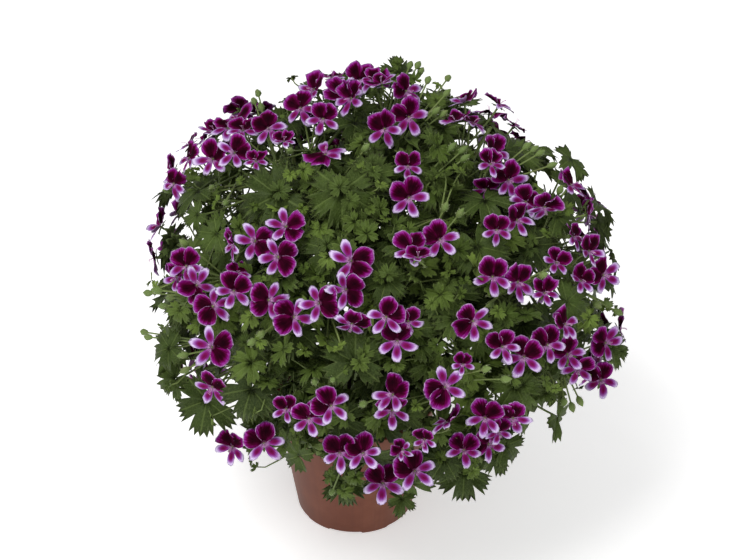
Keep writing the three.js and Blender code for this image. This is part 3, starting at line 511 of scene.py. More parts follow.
def read_leaf(middle, normal, tip, width, shifts):
    """The stem, root and blade of one leaf, or None where the solids leave it out."""
    size = LEAF_REACH * width
    for shift in shifts:
        place = middle + shift - 0.35 * size * tip
        for number, corners in enumerate(stem_corners):
            if found(corners, [place + LEAF_THROAT * normal]) is None:
                continue
            under = place - LEAF_BEND * normal
            bends = under + 0.15 * (ring_places[number] - under)
            root = min(range(2, STEM_STEPS + 1), key=lambda k: offsets(corners, bends[k], LEAF_STALK_RADIUS))
            return dict(stem=number, root=ring_places[number][root], bend=bends[root], place=place,
                        normal=normal, tip=tip, size=size)
    return None


def read_leaves():
    for column, row, turn, right, upward, width in SEEN_LEAVES:
        sight = sight_line(column, row)
        shifts = [far * sight for far in (0, 6, -6, 12, -12, 18, 26, 34)]
        yield read_leaf(seen_point(column, row, 0.98), *seen_frame(turn, right, upward), width, shifts)
    for index in range(LEAF_PLACES):
        height = 1 - (1 - math.cos(math.radians(CANOPY_HEM))) * (index + 0.5) / LEAF_PLACES
        middle = canopy_point(outward_at(height, GOLDEN_TURN * index), draw(0.84, 0.98))
        normal = canopy_normal(middle)
        face = unit(0.8 * normal + [draw(-0.45, 0.45), draw(-0.45, 0.45), draw(-0.05, 0.75)])
        tip = across(np.array([normal[0] + draw(-0.7, 0.7), normal[1] + draw(-0.7, 0.7), draw(-0.9, 0.2)]), face)
        width = draw(0.8, 1.15)
        yield read_leaf(middle, face, tip, width, [-far * normal for far in (0, 8, 16, 24)])


leaves = [leaf for leaf in read_leaves() if leaf]

# Finishes


class Value:
    """A socket of a finish's shader; the operators add the Math node that each one names."""

    def __init__(self, finish, socket):
        self.finish, self.socket = finish, socket

    def maths(self, operation, *values):
        return self.finish.node("ShaderNodeMath", {"operation": operation}, dict(enumerate(values)))

    def __add__(self, other):
        return self.maths("ADD", self, other)

    def __sub__(self, other):
        return self.maths("SUBTRACT", self, other)

    def __rsub__(self, other):
        return self.maths("SUBTRACT", other, self)

    def __mul__(self, other):
        return self.maths("MULTIPLY", self, other)

    def __truediv__(self, other):
        return self.maths("DIVIDE", self, other)

    def __rtruediv__(self, other):
        return self.maths("DIVIDE", other, self)

    def __abs__(self):
        return self.maths("ABSOLUTE", self)

    __radd__ = __add__
    __rmul__ = __mul__

    def root(self):
        return self.maths("SQRT", self)

    def nearest(self):
        return self.maths("ROUND", self)

    def ease(self, low, high):
        """0 below low, 1 above high and a smooth step between; turned round where low is above high."""
        span = {"interpolation_type": "SMOOTHSTEP"}
        if low > high:
            return self.finish.node("ShaderNodeMapRange", span, {0: self, 1: high, 2: low, 3: 1.0, 4: 0.0})
        return self.finish.node("ShaderNodeMapRange", span, {0: self, 1: low, 2: high, 3: 0.0, 4: 1.0})


class Finish:
    """A material in the making, with one Principled shader at its end."""

    def __init__(self, name, **constants):
        self.material = bpy.data.materials.new(name)
        self.material.use_nodes = True
        self.tree = self.material.node_tree
        self.tree.nodes.clear()
        self.shader = self.tree.nodes.new("ShaderNodeBsdfPrincipled")
        output = self.tree.nodes.new("ShaderNodeOutputMaterial")
        self.tree.links.new(self.shader.outputs[0], output.inputs[0])
        for socket, value in constants.items():
            self.shader.inputs[socket.replace("_", " ").title().replace("Ior", "IOR")].default_value = value

    def put(self, socket, value):
        if isinstance(value, Value):
            self.tree.links.new(value.socket, socket)
        elif isinstance(value, tuple) and len(value) == 3 and socket.type == "RGBA":
            socket.default_value = (*value, 1.0)
        else:
            socket.default_value = value

    def node(self, kind, settings=None, sockets=None, output=0):
        """Adds a node: its settings first, among them a ramp's stops, then its sockets' values or links."""
        node = self.tree.nodes.new(kind)
        for setting, value in (settings or {}).items():
            if setting == "stops":
                while len(node.color_ramp.elements) < len(value):
                    node.color_ramp.elements.new(1.0)
                for element, (place, colour) in zip(node.color_ramp.elements, value):
                    element.position, element.color = place, (*colour, 1.0)
            else:
                setattr(node, setting, value)
        for socket, value in (sockets or {}).items():
            self.put(node.inputs[socket], value)
        return Value(self, node.outputs[output])

    def place(self):
        return self.node("ShaderNodeTexCoord", output="Object")

    def own(self):
        """The two coordinates that the surface gives its own points."""
        flat = self.node("ShaderNodeUVMap", {"uv_map": "Blade"})
        return [self.node("ShaderNodeSeparateXYZ", {}, {0: flat}, axis) for axis in (0, 1)]

    def tone(self):
        """Shade, youth and edge of the surface."""
        three = self.node("ShaderNodeAttribute", {"attribute_name": "tone"}, output="Vector")
        return [self.node("ShaderNodeSeparateXYZ", {}, {0: three}, axis) for axis in (0, 1, 2)]

    def point(self, x, y, z=0.0):
        return self.node("ShaderNodeCombineXYZ", {}, {0: x, 1: y, 2: z})

    def noise(self, where, scale, detail=2.0, rough=0.5):
        return self.node("ShaderNodeTexNoise", {}, {"Vector": where, "Scale": scale, "Detail": detail,
                                                    "Roughness": rough})

    def mix(self, share, a, b):
        return self.node("ShaderNodeMix", {"data_type": "RGBA"}, {0: share, 6: a, 7: b}, 2)

    def colour(self, value):
        self.put(self.shader.inputs["Base Color"], value)

    def roughness(self, value):
        self.put(self.shader.inputs["Roughness"], value)

    def bump(self, height, strength, distance):
        """Distance is in millimetres."""
        values = {"Strength": strength, "Distance": distance * MM, "Height": height}
        self.put(self.shader.inputs["Normal"], self.node("ShaderNodeBump", {}, values))


def tint(red, green, blue):
    """A display colour, 0 to 255, as the linear colour that a shader takes."""
    share = np.array([red, green, blue]) / 255
    linear = np.where(share <= 0.04045, share / 12.92, ((share + 0.055) / 1.055) ** 2.4)
    return tuple(float(part) for part in linear)


def dark_petal(name, back):
    """Upper petal: near-black maroon inside, crimson and then violet towards the outline in fine
    rays, and a thin pale rim; the back is the same, a little paler."""
    finish = Finish(name, roughness=0.75, specular_ior_level=0.03)
    x, y = finish.own()
    shade, lot, edge = finish.tone()
    ray = x / (y + 0.15)
    rays = finish.noise(finish.point(ray * 9.0, y * 0.8, lot * 9.0), 1.9, 3.0, 0.7)
    broad = finish.noise(finish.point(ray * 2.4, y * 1.4, lot * 5.0), 1.0, 1.0)
    zone = edge + (rays - 0.5) * 0.42 + (broad - 0.5) * 0.22 - (shade - 0.5) * 0.08 + (0.5 - y) * 0.24
    violet, crimson, wine = tint(118, 10, 106), tint(90, 2, 58), tint(46, 0, 20)
    if back:
        violet, crimson, wine = tint(136, 42, 134), tint(104, 22, 76), tint(58, 6, 30)
    colour = finish.node("ShaderNodeValToRGB", {"stops": [
        (0.0, tint(140, 50, 136)), (0.1, violet), (0.28, crimson), (0.48, wine), (0.9, tint(26, 0, 10))]},
        {0: zone * 2.25})
    rim = (edge + (rays - 0.5) * 0.04).ease(0.012, 0.06)
    colour = finish.mix(rim, finish.mix(rays, tint(222, 198, 228), tint(184, 130, 194)), colour)
    throat = ((x * x + y * y).root() + (rays - 0.5) * 0.1).ease(0.15, 0.05)
    finish.colour(finish.mix(throat * 0.6, colour, tint(170, 92, 140)))
    finish.bump(finish.noise(finish.point(ray * 16.0, y * 7.0, lot * 9.0), 2.0), 0.35, 0.25)
    return finish.material


def marked_petal(name, back):
    """Lower petal: an oval crimson blotch that passes through violet to a lilac white end, with
    fine magenta veins on a pale claw."""
    finish = Finish(name, roughness=0.7, specular_ior_level=0.1)
    x, y = finish.own()
    shade, lot, edge = finish.tone()
    ray = x / (y * 0.6 + 0.25)
    rays = finish.noise(finish.point(ray * 14.0, y * 1.6, lot * 9.0), 1.8, 3.0, 0.6)
    reach = ((x * 5.9) * (x * 5.9) + ((y - 0.52) * 3.6) * ((y - 0.52) * 3.6)).root()
    zone = reach * (1.16 - shade * 0.3) + (rays - 0.5) * 0.8 + (y - 0.5) * 0.7
    lilac = tint(208, 192, 226)
    colour = finish.node("ShaderNodeValToRGB", {"stops": [
        (0.0, tint(82, 0, 42)), (0.25, tint(112, 4, 76)), (0.4, tint(120, 34, 116)), (0.58, tint(148, 92, 164)),
        (0.86, lilac)]}, {0: zone * 0.5})
    colour = finish.mix((edge + (rays - 0.5) * 0.03).ease(0.008, 0.045), tint(216, 200, 232), colour)
    veins = (ray + 0.02) * 6.0
    vein = abs(veins - veins.nearest()).ease(0.2, 0.07) * y.ease(0.46, 0.24)
    colour = finish.mix(y.ease(0.3, 0.08) * 0.75, colour, tint(190, 148, 188))
    colour = finish.mix(vein * 0.85, colour, tint(118, 8, 88))
    if back:
        colour = finish.mix(0.45, colour, finish.mix(rays, tint(206, 176, 222), tint(160, 104, 176)))
    finish.colour(colour)
    finish.bump(finish.noise(finish.point(ray * 12.0, y * 5.0, lot * 9.0), 2.0), 0.3, 0.25)
    return finish.material


def leaf_finish(name, back):
    """Leaf: mid green that is yellower when young, darker between its veins, with a pale midrib in
    each lobe, side veins that slant off it, and a soft dull down."""
    finish = Finish(name, specular_ior_level=0.16)
    lobe, reach = finish.own()
    shade, youth, edge = finish.tone()
    patch = finish.noise(finish.place(), 90.0, 3.0, 0.6)
    grain = finish.noise(finish.place(), 900.0, 2.0)
    crinkle = finish.noise(finish.place(), 230.0, 2.0)
    off = abs(lobe - lobe.nearest())
    midrib = (off * (reach + 0.12)).ease(0.05, 0.012)
    slant = reach * 7.0 - off * 6.0
    side = abs(slant - slant.nearest()).ease(0.2, 0.05) * off.ease(0.42, 0.1) * 0.5
    veins = finish.node("ShaderNodeMath", {"operation": "MAXIMUM"}, {0: midrib, 1: side})
    old = finish.mix(shade, tint(33, 46, 14), tint(58, 76, 26))
    young = finish.mix(shade, tint(68, 88, 26), tint(110, 132, 54))
    green = finish.mix(youth, old, young)
    green = finish.mix(patch.ease(0.35, 0.72) * 0.5, green, tint(34, 44, 14))
    green = finish.mix(grain.ease(0.3, 0.8) * 0.2, green, tint(106, 120, 66))
    green = finish.mix(veins * 0.3, green, tint(112, 130, 68))
    # paler rim: pale down on the margin, and painted sheen where the down catches the light
    green = finish.mix(edge.ease(0.09, 0.0) * 0.4, green, tint(130, 144, 84))
    if back:
        green = finish.mix(0.35, green, tint(98, 110, 68))
    finish.colour(green)
    finish.roughness(0.5 + grain * 0.2)
    finish.bump(grain * 0.15 + crinkle - veins * (-0.5 if back else 0.4), 0.8, 1.4)
    return finish.material


def green_finish(name, light, dark, flush, rough):
    """Green of stalks, sepals and buds: light and dark by chance, a flush in patches, and fine down."""
    finish = Finish(name, roughness=rough, specular_ior_level=0.18)
    shade, youth, edge = finish.tone()
    patch = finish.noise(finish.place(), 120.0, 3.0, 0.6)
    fine = finish.noise(finish.place(), 1400.0, 2.0)
    green = finish.mix(shade * 0.5 + youth * 0.5, dark, light)
    green = finish.mix(patch.ease(0.52, 0.75) * 0.55, green, flush)
    green = finish.mix(fine.ease(0.55, 0.8) * 0.3, green, tint(176, 190, 140))
    finish.colour(green)
    finish.bump(fine, 0.5, 0.3)
    return finish.material


def stamen_finish(name):
    finish = Finish(name, roughness=0.5, specular_ior_level=0.3)
    fine = finish.noise(finish.place(), 700.0)
    finish.colour(finish.mix(fine.ease(0.35, 0.65), tint(214, 182, 214), tint(176, 104, 156)))
    return finish.material


def plastic_finish(name):
    """Red-brown moulded plastic: a fine satin grain, faint upright flow lines, and a dusty bloom."""
    finish = Finish(name, specular_ior_level=0.25)
    place = finish.place()
    parts = [finish.node("ShaderNodeSeparateXYZ", {}, {0: place}, axis) for axis in (0, 1, 2)]
    around = finish.node("ShaderNodeMath", {"operation": "ARCTAN2"}, {0: parts[1], 1: parts[0]})
    flow = finish.noise(finish.point(around * 14.0, parts[2] * 6.0), 1.0, 3.0)
    grain = finish.noise(place, 1600.0, 2.0)
    cloud = finish.noise(place, 28.0, 4.0, 0.6)
    brown = finish.mix(cloud.ease(0.35, 0.7), tint(104, 57, 40), tint(116, 66, 47))
    brown = finish.mix(flow.ease(0.4, 0.7) * 0.25, brown, tint(92, 51, 39))
    dusty = (cloud * 0.6 + grain * 0.4).ease(0.5, 0.72) * 0.22
    finish.colour(finish.mix(dusty, brown, tint(134, 97, 80)))
    finish.roughness(0.42 + grain * 0.12 + cloud * 0.1)
    finish.bump(grain * 0.5 + flow * 0.5, 0.25, 0.15)
    return finish.material


def peat_finish(name):
    """Dark fibrous peat, with paler straws and a crumbly grain."""
    finish = Finish(name, roughness=0.95, specular_ior_level=0.15)
    place = finish.place()
    coarse = finish.noise(place, 160.0, 5.0, 0.7)
    fine = finish.noise(place, 900.0, 4.0, 0.7)
    straw = finish.noise(finish.node("ShaderNodeVectorMath", {"operation": "MULTIPLY"},
                                     {0: place, 1: (300.0, 60.0, 200.0)}), 3.0, 3.0)
    colour = finish.mix(coarse.ease(0.35, 0.7), tint(30, 20, 14), tint(62, 44, 30))
    colour = finish.mix(straw.ease(0.62, 0.72) * 0.6, colour, tint(112, 86, 58))
    finish.colour(colour)
    finish.bump(coarse + fine * 0.6, 0.9, 1.2)
    return finish.material


def floor_finish(name):
    finish = Finish(name, roughness=0.9, specular_ior_level=0.1, emission_color=(1, 1, 1, 1),
                    emission_strength=0.42)
    finish.colour(finish.mix(finish.noise(finish.place(), 3.0), tint(250, 250, 250), tint(252, 252, 252)))
    return finish.material


FINISHES = {
    "petal_dark": dark_petal("velvet_dark_petal", False),
    "petal_dark_back": dark_petal("dark_petal_back", True),
    "petal_marked": marked_petal("lilac_marked_petal", False),
    "petal_marked_back": marked_petal("lilac_petal_back", True),
    "stamen": stamen_finish("pink_stamen"),
    "leaf": leaf_finish("leaf_upper_side", False),
    "leaf_back": leaf_finish("leaf_under_side", True),
    "stalk": green_finish("downy_stalk", tint(122, 138, 78), tint(82, 98, 50), tint(98, 88, 56), 0.55),
    "sepal": green_finish("green_sepal", tint(108, 126, 68), tint(70, 88, 42), tint(90, 66, 54), 0.55),
    "down": green_finish("pale_down", tint(196, 204, 166), tint(164, 176, 132), tint(180, 176, 150), 0.6),
    "bud": green_finish("downy_bud", tint(112, 132, 72), tint(78, 98, 48), tint(110, 100, 74), 0.6),
    "plastic": plastic_finish("red_brown_plastic"),
    "peat": peat_finish("peat"),
}

# Surfaces: every one is a grid of points, gathered into the mesh of one named piece


def grid_quads(index):
    """The quads between the neighbours of a grid of point numbers."""
    return np.stack([index[:-1, :-1], index[:-1, 1:], index[1:, 1:], index[1:, :-1]], axis=-1).reshape(-1, 4)


class Piece:
    """The surfaces of one piece. Each has a finish, a tone, and its own two coordinates."""

    def __init__(self, name, finishes):
        self.name, self.finishes = name, finishes
        self.points, self.tones = [], []
        self.loops, self.sizes, self.uvs, self.cells, self.slots = [], [], [], [], []
        self.count = self.patches = 0

    def add_points(self, points, tone):
        """Tone is three numbers: a shade, a youth and an edge, each one value or one for each point."""
        first = self.count
        self.points.append(points)
        self.tones.append(np.stack(np.broadcast_arrays(*tone, points[:, 0])[:3], axis=-1))
        self.count += len(points)
        return first

    def add_faces(self, index, uv_index, uv, finish, new_patch=True):
        """Faces by their point numbers, and the surface's own coordinates by theirs, in a patch of the
        chart of their own or in the last one."""
        self.patches += new_patch
        self.loops.append(index.ravel())
        self.sizes.append(np.full(len(index), index.shape[1]))
        self.uvs.append(uv[uv_index.ravel()])
        self.cells.append(np.full(index.size, self.patches - 1))
        self.slots.append(np.full(len(index), self.finishes.index(finish)))

    def blade(self, front, thickness, share, normal, uv, tone, finishes):
        """A thin closed blade: a front grid, and a back grid that shares the front's four sides and
        lies under it by thickness (1 - share^2)."""
        rows, columns = front.shape[:2]
        back = front - thickness * (1 - share[..., None] ** 2) * normal
        shades = [np.broadcast_to(part, (rows, columns)).reshape(-1) for part in tone]
        first = self.add_points(front.reshape(-1, 3), shades)
        inner = [part.reshape(rows, columns)[1:-1, 1:-1].reshape(-1) for part in shades]
        second = self.add_points(back[1:-1, 1:-1].reshape(-1, 3), inner)
        front_index = first + np.arange(rows * columns).reshape(rows, columns)
        back_index = front_index.copy()
        back_index[1:-1, 1:-1] = second + np.arange((rows - 2) * (columns - 2)).reshape(rows - 2, columns - 2)
        own = grid_quads(front_index - first)
        self.add_faces(grid_quads(front_index), own, uv.reshape(-1, 2), finishes[0])
        self.add_faces(grid_quads(back_index)[:, ::-1], own[:, ::-1], uv.reshape(-1, 2), finishes[1])

    def tube(self, line, radii, sides, tone, finish, round_end=False):
        """A closed tube along a line: at each point a ring of the given radius across the line."""
        line = np.asarray(line, float)
        radii = np.broadcast_to(np.asarray(radii, float), len(line)).copy()
        ahead = unit(np.gradient(line, axis=0))
        if round_end:
            line = np.vstack([line, line[-1] + 0.7 * radii[-1] * ahead[-1]])
            radii = np.append(radii, 0.55 * radii[-1])
            ahead = np.vstack([ahead, ahead[-1:]])
        bent = np.cross(ahead[0], ahead[-1])
        if np.linalg.norm(bent) < 0.05:
            bent = np.cross(ahead[0], np.eye(3)[np.argmin(np.abs(ahead[0]))])
        side = across(unit(bent), ahead)
        rings = radii[:, None, None] * ring_round(side, np.cross(ahead, side), sides)
        self.shell(line[:, None] + rings, line[0], line[-1], tone, finish)

    def shell(self, rings, first_pole, last_pole, tone, finish):
        """A closed skin: rings of points joined in turn, and a fan from a pole at each end."""
        count, sides = rings.shape[:2]
        points = np.vstack([rings.reshape(-1, 3), first_pole[None], last_pole[None]])
        first = self.add_points(points, tone)
        index = first + np.arange(count * sides).reshape(count, sides)
        index = np.hstack([index, index[:, :1]])
        grid = np.arange(count * (sides + 1)).reshape(count, sides + 1)
        around, along = np.meshgrid(np.linspace(0, 1, sides + 1), np.linspace(0.05, 0.95, count))
        poles = np.stack([np.tile((np.arange(sides) + 0.5) / sides, 2), np.repeat([0.0, 1.0], sides)], axis=-1)
        uv = np.vstack([np.stack([around.ravel(), along.ravel()], axis=-1), poles])
        low, high = first + count * sides, first + count * sides + 1
        low_uv = count * (sides + 1) + np.arange(sides)
        high_uv = low_uv + sides
        self.add_faces(grid_quads(index), grid_quads(grid), uv, finish)
        fan = np.stack([index[0, 1:], index[0, :-1], np.full(sides, low)], axis=-1)
        own = np.stack([grid[0, 1:], grid[0, :-1], low_uv], axis=-1)
        self.add_faces(fan, own, uv, finish, new_patch=False)
        fan = np.stack([index[-1, :-1], index[-1, 1:], np.full(sides, high)], axis=-1)
        own = np.stack([grid[-1, :-1], grid[-1, 1:], high_uv], axis=-1)
        self.add_faces(fan, own, uv, finish, new_patch=False)

    def make(self, slot, replaced=(), smooth=True):
        """The mesh object: points in metres, finishes, tones, own coordinates and an even chart of patches."""
        loops, sizes = np.concatenate(self.loops), np.concatenate(self.sizes)
        points = np.concatenate(self.points) * MM
        mesh = bpy.data.meshes.new(self.name)
        mesh.vertices.add(len(points))
        mesh.vertices.foreach_set("co", points.astype(np.float32).ravel())
        mesh.loops.add(len(loops))
        mesh.loops.foreach_set("vertex_index", loops.astype(np.int32))
        mesh.polygons.add(len(sizes))
        mesh.polygons.foreach_set("loop_start", np.concatenate([[0], np.cumsum(sizes)[:-1]]).astype(np.int32))
        mesh.polygons.foreach_set("material_index", np.concatenate(self.slots).astype(np.int32))
        mesh.polygons.foreach_set("use_smooth", np.full(len(sizes), smooth))
        mesh.update(calc_edges=True)
        own = np.concatenate(self.uvs)
        mesh.uv_layers.new(name="Blade").data.foreach_set("uv", own.astype(np.float32).ravel())
        cells = np.concatenate(self.cells)
        low = np.full((self.patches, 2), np.inf)
        high = np.full((self.patches, 2), -np.inf)
        np.minimum.at(low, cells, own)
        np.maximum.at(high, cells, own)
        chart = (own - low[cells]) / np.maximum(high - low, 1e-6 * np.ptp(own, axis=0))[cells]
        wide = math.ceil(math.sqrt(self.patches))
        chart = (np.stack([cells % wide, cells // wide], axis=-1) + 0.06 + 0.88 * chart) / wide
        mesh.uv_layers.new(name="OFBake").data.foreach_set("uv", chart.astype(np.float32).ravel())
        tones = mesh.attributes.new("tone", "FLOAT_VECTOR", "POINT")
        tones.data.foreach_set("vector", np.concatenate(self.tones).astype(np.float32).ravel())
        for finish in self.finishes:
            mesh.materials.append(FINISHES[finish])
        piece = bpy.data.objects.new(self.name, mesh)
        bpy.context.scene.collection.objects.link(piece)
        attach(piece, "root")
        if replaced:
            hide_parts(*replaced)
        return piece


# Petals: a flat outline that is a pear curve, filled by rows that shrink towards the claw


def pear_petal(columns, rows, half_width, taper, claw, opening):
    """Flat petal one unit long. With f from opening to 2 pi - opening, the outline is
    y = (1 - cos f) / 2 and x = half_width sin f sin^taper(f / 2), the claw a short line at the
    base, and each row lies between the two at its share. The edge is the distance to the outline."""
    f = np.linspace(opening, 2 * np.pi - opening, columns + 1)
    fullest = np.linspace(0.02, np.pi, 200)
    most = np.max(np.sin(fullest) * np.sin(fullest / 2) ** taper)
    rim = np.stack([-half_width * np.sin(f) * np.sin(f / 2) ** taper / most, (1 - np.cos(f)) / 2], axis=-1)
    base = np.stack([claw * np.linspace(-1, 1, columns + 1), np.zeros(columns + 1)], axis=-1)
    share = np.array(rows)[:, None, None]
    flat = (1 - share) * base + share * rim
    edge = np.min(np.linalg.norm(flat[:, :, None] - rim, axis=-1), axis=-1)
    return flat, edge, np.broadcast_to(np.array(rows)[:, None], edge.shape)


UPPER_PETAL = pear_petal(16, [0, 0.3, 0.55, 0.75, 0.9, 1], 0.47, 0.5, 0.05, 0.5)
LOWER_PETAL = pear_petal(10, [0, 0.35, 0.65, 0.87, 1], 0.23, 1.0, 0.045, 0.6)
SEPAL = pear_petal(6, [0, 0.5, 1], 0.16, -0.35, 0.1, 0.4)

# Each petal: degrees from the flower's top, length and rise beside the flower's size, outline
PETALS = [
    (-35, 1.0, 0.17, UPPER_PETAL, "petal_dark"), (35, 1.0, 0.13, UPPER_PETAL, "petal_dark"),
    (-112, 0.96, 0.02, LOWER_PETAL, "petal_marked"), (180, 1.0, -0.03, LOWER_PETAL, "petal_marked"),
    (112, 0.96, 0.02, LOWER_PETAL, "petal_marked"),
]
PETAL_THICKNESS, SEPAL_THICKNESS, BRACT_THICKNESS = 0.4, 0.45, 0.4
BRACT_LENGTH = 5.5


def lay(flat, lift, place, out, side, normal):
    """Flat points put into place: x along the side, y outwards, and the lift along the normal."""
    return place + flat[..., :1] * side + flat[..., 1:] * out + lift[..., None] * normal


def add_petal(piece, flower, entry, size, shade, flower_rise):
    """A petal rises from the throat as a parabola, curls back at its sides, and waves at its rim."""
    degrees, length, rise, (flat, edge, share), finish = entry
    broad = finish == "petal_dark"
    turn = math.radians(degrees + chance.normal(0, 3 if broad else 5))
    normal, top = flower["normal"], flower["top"]
    sideways = np.cross(normal, top)
    out = math.sin(turn) * sideways + math.cos(turn) * top
    side = np.cross(out, normal)
    long = size * length * chance.uniform(0.95, 1.04)
    wave = chance.uniform(0, 2 * np.pi, 4)
    around = np.arctan2(flat[..., 0], flat[..., 1] - 0.5)
    grown = 1 + share**2 * (0.035 * np.sin(3 * around + wave[2]) + 0.022 * np.sin(7 * around + wave[3]))
    x, y = flat[..., 0] * grown, flat[..., 1] * grown
    lift = (-1.1 * (1 - y) ** 3 + long * (rise + flower_rise + chance.normal(0, 0.09)) * y**1.7
            + long * chance.normal(-0.4, 0.8) * x**2 * (0.4 + y)
            + (0.8 if broad else 0.35) * share**3 * np.sin(5 * around + wave[0])
            + (0.4 if broad else 0.15) * share**4 * np.sin(11 * around + wave[1])
            + long * chance.normal(0, 0.22) * x * y
            - (2.2 if broad else 2.4) * ease(0.6, 1.05, y) * chance.uniform(0, 1) ** 2)
    swing = chance.normal(0, 0.07) * y**2
    bent = np.stack([long * (x + swing), long * y], axis=-1)
    front = lay(bent, lift, flower["place"], out, side, normal)
    tone = (shade, chance.uniform(), edge)
    piece.blade(front, PETAL_THICKNESS, share, normal, flat, tone, (finish, finish + "_back"))


def add_stamens(piece, flower):
    """Fine curved threads that bow out of the throat over the lowest petal."""
    normal, top = flower["normal"], flower["top"]
    sideways = np.cross(normal, top)
    start = flower["place"] - 1.6 * normal
    for spread in (-0.22, 0.0, 0.22):
        tip = flower["place"] + 4.6 * normal - 2.6 * top + 5 * spread * sideways
        bow = flower["place"] + 3.0 * normal - 0.2 * top + 2 * spread * sideways
        line = bezier([start, bow, tip], np.linspace(0, 1, 4))
        piece.tube(line, [0.24, 0.18, 0.16, 0.26], 3, (0.5, 0, 0), "stamen")


def add_calyx(piece, flower, shade):
    """Five narrow sepals behind the petals, each a pear outline that bends back along its length."""
    flat, edge, share = SEPAL
    normal, top = flower["normal"], flower["top"]
    sideways = np.cross(normal, top)
    for turn in np.radians([0, 72, 144, 216, 288]) + chance.normal(0, 0.1):
        out = math.sin(turn) * sideways + math.cos(turn) * top
        side = np.cross(out, normal)
        long = chance.uniform(6.5, 8)
        x, y = flat[..., 0], flat[..., 1]
        lift = 0.4 + 1.6 * y - 2.2 * y**2 + 2.5 * x**2 * long
        front = lay(long * flat, lift, flower["place"] - 3 * normal, out, side, normal)
        piece.blade(front, SEPAL_THICKNESS, share, normal, flat, (shade, 0.4, edge), ("sepal", "sepal"))


def add_bud(piece, middle, joint, length, radius, shade):
    """A closed bud: rings of radius r sin(pi t^0.9)^0.95 with five soft ribs, drawn out to a point."""
    along = unit(middle - joint)
    tip = middle + length / 2 * along
    neck = middle - length / 2 * along
    piece.tube(rounded([joint, (joint + neck) / 2 + [0, 0, 0.4], neck, middle - 0.3 * length * along], 6),
               [0.85, 0.75, 0.7, 0.65, 0.65, 0.7, 0.8], 5, (shade, 0.6, 0), "stalk")
    t = np.array([0.04, 0.14, 0.28, 0.45, 0.62, 0.78, 0.9, 0.97])
    bulge = radius * np.sin(np.pi * t**0.9) ** 0.95
    ribs = 1 + 0.09 * np.cos(5 * turns(10))
    ring = ring_round(*sides_of(along, [0.2, 0.1, 1.0]), 10)
    rings = (neck + t[:, None] * length * along)[:, None] + (bulge[:, None] * ribs)[..., None] * ring
    piece.shell(rings, neck, tip, (shade, 0.7, 0), "bud")


def add_bracts(piece, joint, toward, shade):
    """Small pointed bracts that sit round the knob of a head and lean along its stalks."""
    flat, edge, share = SEPAL
    first, second = sides_of(toward, [0.3, 0.2, 1.0])
    for turn in np.radians(np.arange(5) * 72) + chance.uniform(0, 1):
        round_way = math.cos(turn) * first + math.sin(turn) * second
        out = unit(0.9 * toward + 0.75 * round_way)
        normal = across(-round_way + toward, out)
        side = np.cross(out, normal)
        x, y = flat[..., 0], flat[..., 1]
        lift = 5 * x**2 - 0.5 * y
        front = lay(BRACT_LENGTH * flat * [1.3, 1], lift, joint + 1.2 * round_way, out, side, normal)
        piece.blade(front, BRACT_THICKNESS, share, normal, flat, (shade, 0.5, edge), ("sepal", "sepal"))


# Lines that carry down: the points of each, the radius of its skin, and how many hairs

downy = []
HAIR_LENGTHS, HAIR_RADIUS = (0.8, 1.5), 0.09


def make_down():
    """Fine hairs as closed spikes of three sides: each stands on the skin of a stalk or a bud, at a
    chance place along and round it, and leans a little towards the tip."""
    piece = Piece("down", ["down"])
    roots, ways, sides = [], [], []
    for line, radius, count in downy:
        line = np.asarray(line)
        at = chance.uniform(0, len(line) - 1.001, count)
        low = at.astype(int)
        ahead = unit(line[low + 1] - line[low])
        way = across(chance.normal(size=(count, 3)), ahead)
        roots.append(line[low] + (at - low)[:, None] * (line[low + 1] - line[low]) + 0.93 * radius * way)
        ways.append(unit(way + 0.35 * ahead))
        sides.append(ahead)
    roots, ways, sides = np.vstack(roots), np.vstack(ways), np.vstack(sides)
    feet = roots[:, None] + HAIR_RADIUS * ring_round(sides, np.cross(ways, sides), 3)
    tips = roots + chance.uniform(*HAIR_LENGTHS, len(roots))[:, None] * ways
    points = np.concatenate([feet, tips[:, None]], axis=1).reshape(-1, 3)
    first = piece.add_points(points, (0.5, 0.5, 0))
    corners = np.array([[0, 1, 3], [1, 2, 3], [2, 0, 3], [0, 2, 1]])
    wide = math.ceil(math.sqrt(len(roots)))
    cell = np.stack([np.arange(len(roots)) % wide, np.arange(len(roots)) // wide], axis=-1)
    local = np.array([[0.1, 0.1], [0.9, 0.1], [0.5, 0.4], [0.5, 0.9]])
    uv = ((cell[:, None] + local) / wide).reshape(-1, 2)
    index = (4 * np.arange(len(roots))[:, None, None] + corners).reshape(-1, 3)
    piece.add_faces(first + index, index, uv, "down")
    piece.make("bloom", smooth=False)


